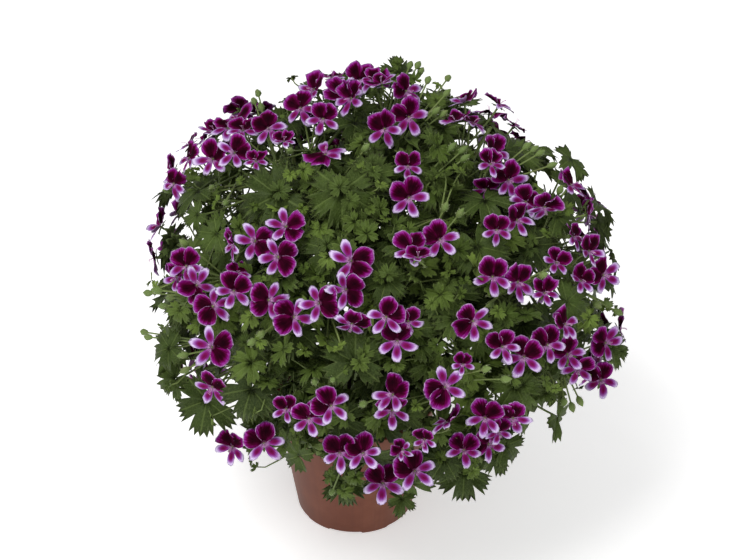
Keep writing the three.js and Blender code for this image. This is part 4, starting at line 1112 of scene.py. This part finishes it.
def make_head(head):
    """Two pieces for a head of bloom: its petals, and its green stalks, calyxes and buds."""
    place_name = head["name"].removeprefix("bloom_")
    petals = Piece("petals_" + place_name,
                   ["petal_dark", "petal_dark_back", "petal_marked", "petal_marked_back", "stamen"])
    green = Piece("stalks_" + place_name, ["stalk", "sepal", "bud"])
    joint = head["joint"]
    shade = chance.uniform()
    downy.append((bezier(head["stalk"], np.linspace(0.1, 0.97, 12)), 1.15, 180))
    green.tube(bezier(head["stalk"], np.linspace(0.02, 1, 12)), np.linspace(1.35, 1.1, 12), 7,
               (shade, 0.3, 0), "stalk", round_end=True)
    facing = unit(np.sum([flower["normal"] for flower in head["flowers"]], axis=0))
    toward = unit(joint - head["stalk"][1])
    green.tube([joint - 2.3 * toward, joint - 1.2 * toward, joint, joint + 1.2 * toward], [1.3, 2.0, 2.2, 1.6], 8,
               (shade, 0.3, 0), "stalk", round_end=True)
    add_bracts(green, joint, unit(toward + facing), shade)
    for flower in head["flowers"]:
        size = FLOWER_WIDTH / 2 * flower["width"]
        place, normal = flower["place"], flower["normal"]
        flower_rise = chance.normal(0.04, 0.12)
        for entry in PETALS:
            add_petal(petals, flower, entry, size, shade * 0.5 + 0.5 * chance.uniform(), flower_rise)
        add_stamens(petals, flower)
        add_calyx(green, flower, shade)
        bend = flower["bend"]
        if bend is None:  # the solid shows no bend that the rule tries, so the stalk makes its own
            bend = place - (0.135 * np.linalg.norm(place - joint) + 0.55 * FLOWER_BEND) * normal
            bend = bend + 0.2 * (joint - bend)
        line = rounded([place - 0.9 * normal, place - FLOWER_TUBE * normal, bend, (bend + joint) / 2, joint], 12)
        green.tube(line, np.interp(np.linspace(0, 1, 13), [0, 0.2, 0.45, 1], [0.95, 1.0, 0.62, 0.75]), 6,
                   (shade, 0.45, 0), "stalk")
        downy.append((line[1:-1], 0.68, 26))
    for middle in head["buds"]:
        downy.append((middle + np.linspace(-0.3, 0.3, 4)[:, None] * BUD_LENGTH * unit(middle - joint), 2.2, 50))
        add_bud(green, middle, joint, BUD_LENGTH, 2.5, shade)
    petals.make("bloom", [head["name"]])
    green.make("bloom", [head["name"]])


# Leaves: a fan from the throat whose outer row is the lobed and toothed outline


def lobed_leaf(teeth, rows, cut, tooth):
    """Flat leaf whose tip is one unit from its throat. Clefts part five lobes; p counts the lobes
    along the outline, t is 0 in the middle of a lobe and 1 in a cleft, and k counts the points of
    the outline, teeth to each lobe and as many notches. The reach is the envelope times
    1 - cut ease(0.72, 1, t) - 0.1 t^2, times 1 + tooth (-1)^k, with the notches at t = 1/2 deeper."""
    p = np.arange(-5 * teeth, 5 * teeth + 1) / (2 * teeth)
    steps = np.arange(6) / 2
    angle = np.interp(np.abs(p), steps, [0, 31, 60, 89, 128, 168]) * np.sign(p)
    envelope = np.interp(np.abs(p), steps, [1.02, 1.0, 0.95, 0.86, 0.78, 0.6])
    off = 2 * np.abs(p - np.round(p))
    saw = np.where(np.arange(len(p)) % 2 == teeth % 2, 1.0, -1.0)
    saw = np.where((saw < 0) & (np.abs(off - 0.5) < 0.2), -1.7, saw)
    reach = envelope * (1 - cut * ease(0.72, 1, off) - 0.1 * off**2) * (1 + tooth * saw)
    way = np.stack([np.sin(np.radians(angle)), np.cos(np.radians(angle))], axis=-1)
    share = np.array(rows)[:, None]
    spread = 0.012 + (reach - 0.012) * share
    flat = spread[..., None] * way
    wide = np.broadcast_to(p, spread.shape)
    own = np.stack([wide, np.broadcast_to(share, spread.shape)], axis=-1)
    return flat, own, (1 - off) ** 1.3, 1 - share * np.ones(len(p))


LARGE_LEAF = lobed_leaf(6, [0, 0.38, 0.74, 1], 0.42, 0.075)
LEAF_THICKNESS = 0.5


def add_leaf(piece, place, normal, tip, size, shape, shade, youth, crisp, cup, droop):
    """A leaf: a V fold along each lobe, waves that grow towards the rim, a cup, and a drooping tip."""
    flat, own, lobe, edge = shape
    side = np.cross(tip, normal)
    p, share = own[..., 0], own[..., 1]
    halves = np.linspace(-2.5, 2.5, 11)
    bend = np.interp(p, halves, chance.normal(0, crisp, 11))
    curl = np.interp(p, halves, chance.normal(0, crisp, 11))
    grown = 1 + share * np.interp(p, halves, chance.normal(0, 0.05, 11))
    radius = np.linalg.norm(flat, axis=-1)
    lift = size * (0.2 * (0.6 - lobe) * share * radius + cup * radius**2
                   - droop * radius**2 * np.maximum(flat[..., 1], 0) + bend * radius + curl * radius**3
                   + 0.2 * crisp * share**3 * np.cos(6 * np.pi * p))
    flat = flat * grown[..., None]
    front = lay(size * flat, LEAF_THROAT + lift, place, tip, side, normal)
    piece.blade(front, LEAF_THICKNESS, share, normal, own, (shade, youth, edge), ("leaf", "leaf_back"))


def make_stem(number):
    """A stem with its large leaves: a tapering tube, slightly swollen where each leaf grows out. A leaf
    near a flower lies calmer, so that none cuts a petal."""
    piece = Piece("stem_and_leaves_" + stem_names[number][-2:], ["stalk", "leaf", "leaf_back"])
    share = np.linspace(0, 1, 46)
    swell = 1 + 0.1 * np.cos(2 * np.pi * STEM_STEPS * share) ** 8
    radii = np.interp(share, [0, 0.35, 1], [2.6, 2.6, 1.7]) * swell
    piece.tube(stems[number].at(share), radii, 12, (0.4, 0.0, 0), "stalk", round_end=True)
    for leaf in leaves:
        if leaf["stem"] != number:
            continue
        place, normal = leaf["place"], leaf["normal"]
        shade = chance.uniform()
        line = rounded([leaf["root"], (leaf["root"] + leaf["bend"]) / 2 + [0, 0, 1.5], leaf["bend"],
                        place + 0.2 * normal], 12)
        radii = np.interp(np.linspace(0, 1, 13), [0, 0.15, 1], [1.4, 0.95, 0.75])
        piece.tube(line, radii, 6, (shade, 0.3, 0), "stalk")
        middle = place + 0.4 * leaf["size"] * leaf["tip"]
        calm = 0.3 if np.min(np.linalg.norm(flower_places - middle, axis=1)) < NEAR_FLOWER else 1.0
        add_leaf(piece, place, normal, leaf["tip"], leaf["size"] * 1.03, LARGE_LEAF, shade,
                 chance.uniform(0, 0.22), calm * chance.uniform(0.12, 0.2), chance.uniform(-0.1, 0.05),
                 chance.uniform(0.1, 0.3))
    piece.make("leaf", [stem_names[number]])


# Side shoots and small leaves, which fill the canopy between what the solids hold

SHOOTS = 84
SHOOT_HEM, SMALL_HEM, INNER_HEM = 118, 124, 112

# Places, as pixel column, row and radius, where the photograph shows no foliage

OPEN_PLACES = np.array([
    [240, 105, 16], [277, 92, 10], [425, 84, 9], [466, 80, 14], [450, 112, 7], [520, 138, 14],
    [562, 158, 30], [597, 228, 26], [612, 200, 18], [575, 298, 14], [600, 283, 11], [545, 432, 30],
    [572, 405, 12], [430, 494, 20], [165, 242, 18], [184, 203, 14], [206, 250, 10], [134, 275, 14],
    [152, 310, 15], [176, 350, 20], [184, 402, 15], [232, 413, 15], [246, 388, 9], [274, 464, 12],
    [500, 478, 16], [636, 300, 16], [150, 390, 16], [505, 398, 8], [205, 225, 8], [545, 255, 9],
    [486, 86, 12], [512, 97, 13], [532, 110, 13], [545, 128, 12], [150, 198, 14], [172, 222, 14],
    [150, 245, 12], [168, 264, 10], [176, 366, 14], [190, 420, 14], [205, 432, 10], [570, 175, 20],
    [585, 200, 14], [628, 260, 16], [628, 285, 10], [590, 300, 10], [560, 306, 8], [515, 450, 14],
    [555, 420, 14], [470, 500, 12], [440, 495, 10], [235, 440, 8], [262, 100, 6], [300, 478, 12],
    [325, 500, 14], [372, 512, 12], [290, 462, 6], [312, 462, 8], [405, 515, 14], [400, 478, 6],
    [590, 345, 8], [215, 160, 8], [405, 330, 5], [300, 330, 5], [398, 292, 6], [272, 180, 9],
    [251, 190, 9], [312, 213, 5], [290, 199, 5], [302, 146, 8], [232, 207, 6], [196, 228, 10],
    [407, 220, 4], [409, 291, 4], [452, 344, 8], [255, 357, 4], [238, 382, 8], [227, 250, 6],
    [314, 253, 4], [470, 339, 4], [511, 303, 5], [556, 296, 10], [503, 387, 8], [585, 349, 6],
], float)

# Small leaves by shell: count tried, lowest and highest share of the canopy, least and most
# length, youth, and outline. Before them, a few are tried over each large leaf

# Youth falls towards the inner shells, so the leaves there are darker: older leaves, and painted shade for the
# depth of the canopy
LEAF_SHELLS = [
    (1600, 0.92, 1.0, 9.0, 16.0, 0.55, "small"),
    (800, 0.97, 1.04, 5.0, 9.0, 0.95, "small"),
    (900, 0.78, 0.92, 12.0, 19.0, 0.3, "small"),
    (640, 0.58, 0.78, 16.0, 24.0, 0.05, "inner"),
    (240, 0.38, 0.58, 16.0, 24.0, 0.0, "inner"),
]
COVER_LEAVES, COVER_YOUTH = 3, 0.45
SMALL_LEAF = lobed_leaf(4, [0, 0.55, 0.85, 1], 0.45, 0.09)
INNER_LEAF = lobed_leaf(2, [0, 0.6, 1], 0.5, 0.05)

# How near a leaf may come to a flower, and how near to the sight of a flower or a bud that the
# photograph shows, beside its own size

NEAR_FLOWER, CLEAR_OF_FLOWER, CLEAR_OF_FACE, CLEAR_OF_BUD = 30, 13, 16, 4

flower_places = np.array([flower["place"] for head in heads for flower in head["flowers"]])
flower_normals = np.array([flower["normal"] for head in heads for flower in head["flowers"]])
flower_pixels = np.stack(pixels(flower_places), axis=-1)
flower_is_seen = flower_normals @ ALONG < 0.3
bud_pixels = np.stack(pixels(np.array([middle for head in heads for middle in head["buds"]])), axis=-1)


def spread_direction(number, count, hem):
    """Directions spread evenly from the top down to the hem by the golden angle, a little off it by chance."""
    height = 1 - (1 - math.cos(math.radians(hem))) * (number + chance.uniform()) / count
    height = max(min(height, 0.999), -0.999)
    return outward_at(height, GOLDEN_TURN * number + chance.normal(0, 0.12))


def is_open(middle, margin):
    column, row, _ = pixels(middle)
    return np.any(np.hypot(OPEN_PLACES[:, 0] - column, OPEN_PLACES[:, 1] - row) < OPEN_PLACES[:, 2] + margin)


def grow_shoots():
    """Side shoots: a Bezier from the nearest free stretch of a stem out to near the canopy."""
    holds = np.vstack([stem.at(np.linspace(0.4, 0.98, 24)) for stem in stems])
    shoots = []
    for number in range(SHOOTS):
        target = canopy_point(spread_direction(number, SHOOTS, SHOOT_HEM), chance.uniform(0.72, 0.88))
        if is_open(target, 0):
            continue
        away = np.linalg.norm(holds - target, axis=1)
        climb = target[2] - holds[:, 2]
        root = holds[np.argmin(away + np.where(climb < 0.1 * away, 60, 0) + chance.uniform(0, 12, len(holds)))]
        knee = root + 0.45 * (target - root) + [0, 0, 0.16 * np.linalg.norm(target - root)]
        shoots.append(Track(bezier([root, knee, target], np.linspace(0, 1, 12))))
    return shoots


def leaf_fits(middle, size, others):
    """Whether a leaf is clear of the flowers, hides no flower or bud that the photograph shows, stands
    in no open place, and isn't on another leaf."""
    away = middle - flower_places
    far = np.linalg.norm(away, axis=1)
    ahead = np.sum(away * flower_normals, axis=1)
    if np.any((far < CLEAR_OF_FLOWER + 0.75 * size) & (ahead > -7)):
        return False
    column, row, depth = pixels(middle)
    apart = np.hypot(flower_pixels[:, 0] - column, flower_pixels[:, 1] - row)
    if np.any(flower_is_seen & (apart < CLEAR_OF_FACE + 0.9 * size) & (depth < flower_pixels[:, 2] + 3)):
        return False
    apart = np.hypot(bud_pixels[:, 0] - column, bud_pixels[:, 1] - row)
    if np.any((apart < CLEAR_OF_BUD + 0.9 * size) & (depth < bud_pixels[:, 2] + 3)):
        return False
    if is_open(middle, 0.6 * size):
        return False
    others = np.array(others).reshape(-1, 4)
    gaps = np.linalg.norm(others[:, :3] - middle, axis=1)
    return not np.any(gaps < 0.5 * (size + others[:, 3]))


def small_leaf(root, place, normal, tip, size, youth, outline):
    return dict(root=root, place=place, normal=normal, tip=tip, size=size,
                youth=np.clip(youth + chance.normal(0, 0.2), 0, 1), outline=outline)


def grow_small_leaves(shoots):
    """Yields each small leaf: first those over the large leaves, on the bend of the leaf's stalk, and
    then those of each shell, which lie deeper where two crossed waves hollow the canopy."""
    holds = np.vstack([stem.at(np.linspace(0.34, 1, 30)) for stem in stems]
                      + [shoot.at(np.linspace(0.1, 1, 12)) for shoot in shoots])
    covers = []
    for leaf in leaves:
        for turn in chance.uniform(0, 2 * math.pi, COVER_LEAVES):
            size = chance.uniform(0.3, 0.46) * leaf["size"]
            side = np.cross(leaf["tip"], leaf["normal"])
            tip = math.cos(turn) * leaf["tip"] + math.sin(turn) * side
            middle = (leaf["place"] + leaf["size"] * (0.15 * leaf["tip"] + 0.32 * tip)
                      + chance.uniform(5, 9) * leaf["normal"])
            face = unit(leaf["normal"] + chance.uniform(-0.45, 0.45, 3))
            tip = across(tip, face)
            if leaf_fits(middle, size, covers):
                covers.append([*middle, size])
                yield small_leaf(leaf["bend"], middle - 0.35 * size * tip, face, tip, size, COVER_YOUTH, "small")
    others = [[*(leaf["place"] + 0.35 * leaf["size"] * leaf["tip"]), 0.35 * leaf["size"]] for leaf in leaves]
    others += covers
    for count, lowest, highest, least, most, youth, outline in LEAF_SHELLS:
        for number in range(count):
            x, y, z = outward = spread_direction(number, count, SMALL_HEM if outline == "small" else INNER_HEM)
            hollow = math.sin(11 * x + 3 * z) * math.sin(10 * y - 4 * z + 1)
            middle = canopy_point(outward, chance.uniform(lowest, highest) - 0.13 * max(hollow, 0))
            size = chance.uniform(least, most)
            normal = canopy_normal(middle)
            face = unit(0.6 * normal + chance.uniform([-0.7, -0.7, -0.1], [0.7, 0.7, 0.9]))
            tip = across(normal + chance.uniform(-0.9, 0.9, 3) + [0, 0, -0.25], face)
            if not leaf_fits(middle, size, others):
                continue
            others.append([*middle, size])
            place = middle - 0.35 * size * tip
            away = np.linalg.norm(holds - place, axis=1)
            behind = (holds - place) @ face > 0.2 * away
            root = holds[np.argmin(away + 40 * behind + 200 * (away < 5))]
            yield small_leaf(root, place, face, tip, size, youth, outline)


def make_shoots(shoots):
    piece = Piece("side_shoots", ["stalk"])
    for shoot in shoots:
        piece.tube(shoot.at(np.linspace(0, 1, 12)), np.linspace(1.7, 1.0, 12), 7,
                   (chance.uniform(), 0.2, 0), "stalk", round_end=True)
    piece.make("leaf")


def make_small_leaves(shoots):
    """The small leaves with their stalks, in one piece for each third part of a turn and each level."""
    pieces = {}
    grown = list(grow_small_leaves(shoots))  # every place is drawn before the first leaf is shaped
    for leaf in grown:
        place, normal, size = leaf["place"], leaf["normal"], leaf["size"]
        out = place - CANOPY_CENTRE
        part = int((math.atan2(out[1], out[0]) + math.pi) / (2 * math.pi) * 3) % 3
        key = f"small_leaves_{'upper' if out[2] > 20 else 'lower'}_{part + 1}"
        piece = pieces.setdefault(key, Piece(key, ["stalk", "leaf", "leaf_back"]))
        shade = chance.uniform()
        reach = np.linalg.norm(leaf["root"] - place)
        line = bezier([place + 0.2 * normal, place - min(0.4 * reach, 9) * normal,
                       (leaf["root"] + place) / 2 + [0, 0, 0.12 * reach], leaf["root"]], np.linspace(0, 1, 6))
        piece.tube(line, np.linspace(0.5, 0.9, 6), 3, (shade, leaf["youth"], 0), "stalk")
        shape = SMALL_LEAF if leaf["outline"] == "small" else INNER_LEAF
        add_leaf(piece, place, normal, leaf["tip"], size, shape, shade, leaf["youth"],
                 chance.uniform(0.1, 0.24), chance.uniform(-0.2, 0.35), chance.uniform(0.05, 0.4))
    for piece in pieces.values():
        piece.make("leaf")


# Pot and soil

POT_HEIGHT, POT_RIM, POT_BASE, POT_WALL, POT_FLOOR = 108.0, 65.0, 46.0, 1.8, 2.4
FLOOR_RAISE, BAND_HEIGHT, BAND_DEPTH = 2.2, 13.0, 2.2
DRAIN_HOLES, DRAIN_RADIUS, DRAIN_CIRCLE = 6, 4.0, 26.0
NOTCH_WIDTH, NOTCH_HEIGHT, NOTCH_TURN = 26.0, 2.0, -100.0
POT_SIDES, SOIL_SIDES = 144, 144
FLOOR_INNER, FLOOR_OUTER, POT_MIDDLE = 16.0, 36.0, 0.3
CRUMBS = 420
SOIL_GAP, SOIL_FLOOR_GAP = 0.4, 0.32


def pot_radius(z):
    return POT_BASE + (POT_RIM - BAND_DEPTH - POT_BASE) * z / POT_HEIGHT


def softened(profile, radius):
    """The profile with each inner corner cut by a small quadratic curve."""
    profile = np.asarray(profile, float)
    before = profile[:-2] - profile[1:-1]
    after = profile[2:] - profile[1:-1]
    low = np.linalg.norm(before, axis=1, keepdims=True)
    high = np.linalg.norm(after, axis=1, keepdims=True)
    starts = profile[1:-1] + before / low * np.minimum(radius, 0.4 * low)
    ends = profile[1:-1] + after / high * np.minimum(radius, 0.4 * high)
    middles = (starts + 2 * profile[1:-1] + ends) / 4
    corners = np.stack([starts, middles, ends], axis=1).reshape(-1, 2)
    return np.vstack([profile[:1], corners, profile[-1:]])


def notch_share(turn, radius):
    """1 within the notches of the foot, whose sides are straight, and 0 outside them."""
    step = 2 * np.pi / DRAIN_HOLES
    off = (turn - math.radians(NOTCH_TURN) + step / 2) % step - step / 2
    return 1 - ease(NOTCH_WIDTH / 2 - 0.6, NOTCH_WIDTH / 2 + 0.6, np.abs(radius * np.sin(off)))


def turned_surface(piece, profile, finish):
    """A profile carried round the upright axis; rows low on the foot rise by the notch's height."""
    turn = 2 * np.pi * np.arange(POT_SIDES + 1) / POT_SIDES
    radius, z = profile[:, :1], profile[:, 1:]
    rise = notch_share(turn, np.maximum(radius, 30)) * ease(36.2, 37.6, radius) * (NOTCH_HEIGHT - 0.9 * z)
    z = z + np.where(z < NOTCH_HEIGHT, rise, 0)
    grid = np.stack([radius * np.cos(turn), radius * np.sin(turn), z], axis=-1)
    first = piece.add_points(grid[:, :-1].reshape(-1, 3), (0.5, 0, 0))
    index = first + np.arange(len(profile) * POT_SIDES).reshape(len(profile), POT_SIDES)
    index = np.hstack([index, index[:, :1]])
    own = np.arange(len(profile) * (POT_SIDES + 1)).reshape(len(profile), -1)
    far = np.concatenate([[0], np.cumsum(np.linalg.norm(np.diff(profile, axis=0), axis=1))])
    uv = np.stack(np.meshgrid(turn / (2 * np.pi), far / far[-1]), axis=-1).reshape(-1, 2)
    piece.add_faces(grid_quads(index), grid_quads(own), uv, finish)


def floor_sectors():
    """For each sixth part of the floor's ring, its outline, and the drain hole's circle point that each
    of the outline's points looks to."""
    arc, climb = POT_SIDES // DRAIN_HOLES, 12
    step = 2 * np.pi / DRAIN_HOLES
    turn = np.concatenate([np.linspace(0, step, arc, endpoint=False), np.full(climb, step),
                           np.linspace(step, 0, arc, endpoint=False), np.zeros(climb)])
    outwards = np.linspace(FLOOR_INNER, FLOOR_OUTER, climb, endpoint=False)
    inwards = np.linspace(FLOOR_OUTER, FLOOR_INNER, climb, endpoint=False)
    radius = np.concatenate([np.full(arc, FLOOR_INNER), outwards, np.full(arc, FLOOR_OUTER), inwards])
    for start in step * np.arange(DRAIN_HOLES):
        outline = np.stack([radius * np.cos(turn + start), radius * np.sin(turn + start)], axis=-1)
        centre = DRAIN_CIRCLE * np.array([math.cos(start + step / 2), math.sin(start + step / 2)])
        yield centre + DRAIN_RADIUS * unit(outline - centre), outline


def closed_rows(piece, grid, up, finish):
    """A grid whose rows are closed rings, facing up or the other way."""
    first = piece.add_points(grid.reshape(-1, 3), (0.5, 0, 0))
    index = first + np.arange(grid.shape[0] * grid.shape[1]).reshape(grid.shape[:2])
    quads = grid_quads(np.hstack([index, index[:, :1]]))
    quads = quads if up else quads[:, ::-1]
    piece.add_faces(quads, quads - first, grid[..., :2].reshape(-1, 2) / 100, finish)


def holed_floor(piece, z, up, finish):
    """A flat ring with a round hole in each sector: rows pass from the hole's circle to the outline."""
    share = np.array([0, 0.2, 0.5, 1])[:, None, None]
    for circle, outline in floor_sectors():
        grid = (1 - share) * circle + share * outline
        closed_rows(piece, np.concatenate([grid, np.full_like(grid[..., :1], z)], axis=-1), up, finish)


def drain_walls(piece, low, high, finish):
    """The short round walls of the drain holes, facing their axes, on the floor's own circle points."""
    for circle, _ in floor_sectors():
        grid = np.stack([np.column_stack([circle, np.full(len(circle), z)]) for z in (low, high)])
        closed_rows(piece, grid, True, finish)


def merged(piece, reach):
    """Joins points of neighbouring surfaces that lie on each other."""
    shape = bmesh.new()
    shape.from_mesh(piece.data)
    bmesh.ops.remove_doubles(shape, verts=shape.verts, dist=reach * MM)
    shape.to_mesh(piece.data)
    shape.free()
    return piece


def make_pot():
    """The pot: a profile turned round its axis, with a ring floor that has the drain holes."""
    piece = Piece("nursery_pot", ["plastic"])
    inside = FLOOR_RAISE + POT_FLOOR
    band = POT_HEIGHT - BAND_HEIGHT
    hub = [[POT_MIDDLE, 0], [FLOOR_INNER - 2, 0], [FLOOR_INNER, FLOOR_RAISE]]
    turned_surface(piece, softened(hub, 0.3), "plastic")
    holed_floor(piece, FLOOR_RAISE, False, "plastic")
    walls = np.linspace(4, band - 1, 12)
    profile = [[FLOOR_OUTER, FLOOR_RAISE], [FLOOR_OUTER + 2, 0], [POT_BASE - 0.8, 0], [pot_radius(1.2), 1.2],
               [pot_radius(2.6), 2.6]]
    profile += [[pot_radius(z), z] for z in walls]
    profile += [[pot_radius(band) + BAND_DEPTH, band + 1], [POT_RIM, POT_HEIGHT - 1], [POT_RIM - 0.9, POT_HEIGHT],
                [POT_RIM - BAND_DEPTH - POT_WALL, POT_HEIGHT], [pot_radius(inside) - POT_WALL, inside],
                [FLOOR_OUTER, inside]]
    turned_surface(piece, softened(profile, 0.35), "plastic")
    holed_floor(piece, inside, True, "plastic")
    turned_surface(piece, np.array([[radius, inside] for radius in (FLOOR_INNER, 8, POT_MIDDLE)]), "plastic")
    drain_walls(piece, FLOOR_RAISE, inside, "plastic")
    turn = turns(POT_SIDES)
    for z, up in ((0, False), (inside, True)):
        ring = np.stack([POT_MIDDLE * np.cos(turn), POT_MIDDLE * np.sin(turn), np.full(POT_SIDES, z)], axis=-1)
        first = piece.add_points(np.vstack([ring, [[0, 0, z]]]), (0.5, 0, 0))
        here = first + np.arange(POT_SIDES)
        there = first + (np.arange(POT_SIDES) + 1) % POT_SIDES
        fan = np.stack([here, there, np.full(POT_SIDES, first + POT_SIDES)], axis=-1)
        fan = fan if up else fan[:, ::-1]
        piece.add_faces(fan, fan - first, np.vstack([ring, [[0, 0, 0]]])[:, :2], "plastic")
    merged(piece.make("plastic", ["pot"]), 0.003)


def rough_ground(x, y, seed, waves, longest, shortest):
    """A sum of sine waves of seeded headings and lengths, each as high as it is long."""
    source = np.random.default_rng(seed)
    total = np.zeros_like(x)
    for long in np.geomspace(longest, shortest, waves):
        heading = source.uniform(0, 2 * np.pi)
        total += long / longest * np.sin(2 * np.pi / long * (x * math.cos(heading) + y * math.sin(heading))
                                         + source.uniform(0, 2 * np.pi))
    return total


def soil_height(x, y):
    radius = np.hypot(x, y)
    rim = pot_radius(SOIL_TOP) - POT_WALL - SOIL_GAP
    dome = SOIL_TOP + SOIL_DOME * np.where(radius < 44, 1 - 0.3 * radius / 44, 0.7 * (rim - radius) / (rim - 44))
    return dome + (0.8 * rough_ground(x, y, 5, 26, 22, 2.4) - 0.6) * ease(rim, rim - 6, radius)


def make_soil():
    """The soil: a rough dome on a smooth plug that fills the pot."""
    piece = Piece("potting_soil", ["peat"])
    rim = pot_radius(SOIL_TOP) - POT_WALL - SOIL_GAP
    floor = FLOOR_RAISE + POT_FLOOR + SOIL_FLOOR_GAP
    foot = pot_radius(floor) - POT_WALL - SOIL_GAP
    turn = turns(SOIL_SIDES)
    radii = np.concatenate([[foot * 0.5, foot, (foot + rim) / 2], np.linspace(rim, 1.2, 48)])[:, None]
    x, y = radii * np.cos(turn), radii * np.sin(turn)
    plug = np.broadcast_to(np.array([floor, floor, (floor + SOIL_TOP) / 2])[:, None], (3, SOIL_SIDES))
    grid = np.stack([x, y, np.vstack([plug, soil_height(x[3:], y[3:])])], axis=-1)
    top = np.array([0, 0, soil_height(np.zeros(1), np.zeros(1))[0]])
    piece.shell(grid, np.array([0, 0, floor]), top, (0.5, 0, 0), "peat")
    piece.make("peat", ["soil"])


def make_crumbs():
    """Crumbs of peat: two uneven rings of five points between two poles, turned by chance and sunk a
    little in the soil."""
    piece = Piece("soil_crumbs", ["peat"])
    for _ in range(CRUMBS):
        radius = 56 * math.sqrt(chance.uniform())
        turn = chance.uniform(0, 2 * np.pi)
        x, y = radius * math.cos(turn), radius * math.sin(turn)
        size = chance.uniform(0.7, 2.1)
        axis = unit(chance.normal(0, 1, 3))
        side = across(chance.normal(0, 1, 3), axis)
        belt = ring_round(side, np.cross(axis, side), 5) * chance.uniform(0.7, 1.2, (5, 1))
        middle = np.array([x, y, soil_height(np.array([x]), np.array([y]))[0] + 0.3 * size])
        rings = middle + size * np.stack([belt - 0.25 * axis, 0.8 * belt + 0.35 * axis])
        low, high = middle - 0.7 * size * axis, middle + 0.8 * size * axis
        piece.shell(rings, low, high, (chance.uniform(), 0, 0), "peat")
    piece.make("peat")


# The plant

for head in heads:
    make_head(head)
make_down()
for number in range(len(stems)):
    make_stem(number)
shoots = grow_shoots()
make_shoots(shoots)
make_small_leaves(shoots)
make_pot()
make_soil()
make_crumbs()

# Floor, light and camera, in metres and watts

FLOOR_HALF = 50
WORLD_STRENGTH = 0.46


def make_floor():
    mesh = bpy.data.meshes.new("floor")
    far = FLOOR_HALF
    mesh.from_pydata([(-far, -far, 0), (far, -far, 0), (far, far, 0), (-far, far, 0)], [], [(0, 1, 2, 3)])
    mesh.materials.append(floor_finish("pale_floor"))
    floor = bpy.data.objects.new("floor", mesh)
    bpy.context.scene.collection.objects.link(floor)


def soft_lamp(name, place, power, size):
    """A square area lamp that looks at the middle of the plant."""
    lamp = bpy.data.lights.new(name, "AREA")
    lamp.energy, lamp.size = power, size
    holder = bpy.data.objects.new(name, lamp)
    holder.location = place
    holder.rotation_euler = (Vector(CANOPY_CENTRE * MM) - Vector(place)).to_track_quat("-Z", "Y").to_euler()
    bpy.context.scene.collection.objects.link(holder)


def make_camera():
    lens = bpy.data.cameras.new("camera")
    lens.sensor_width = SENSOR
    lens.lens = FOCAL_PIXELS / FRAME_WIDTH * SENSOR
    camera = bpy.data.objects.new("camera", lens)
    camera.location = EYE * MM
    camera.rotation_euler = Matrix(np.stack([RIGHT, UPWARD, -ALONG], axis=1).tolist()).to_euler()
    bpy.context.scene.collection.objects.link(camera)
    bpy.context.scene.camera = camera


make_floor()
soft_lamp("top_lamp", (-0.6, -0.7, 1.9), 24, 0.9)
soft_lamp("front_lamp", (0.3, -1.8, 1.2), 8, 1.2)
world = bpy.data.worlds.new("studio")
world.use_nodes = True
background = world.node_tree.nodes["Background"]
background.inputs["Color"].default_value = (1, 1, 1, 1)
background.inputs["Strength"].default_value = WORLD_STRENGTH
bpy.context.scene.world = world
bpy.context.scene.view_settings.view_transform = "Standard"
make_camera()
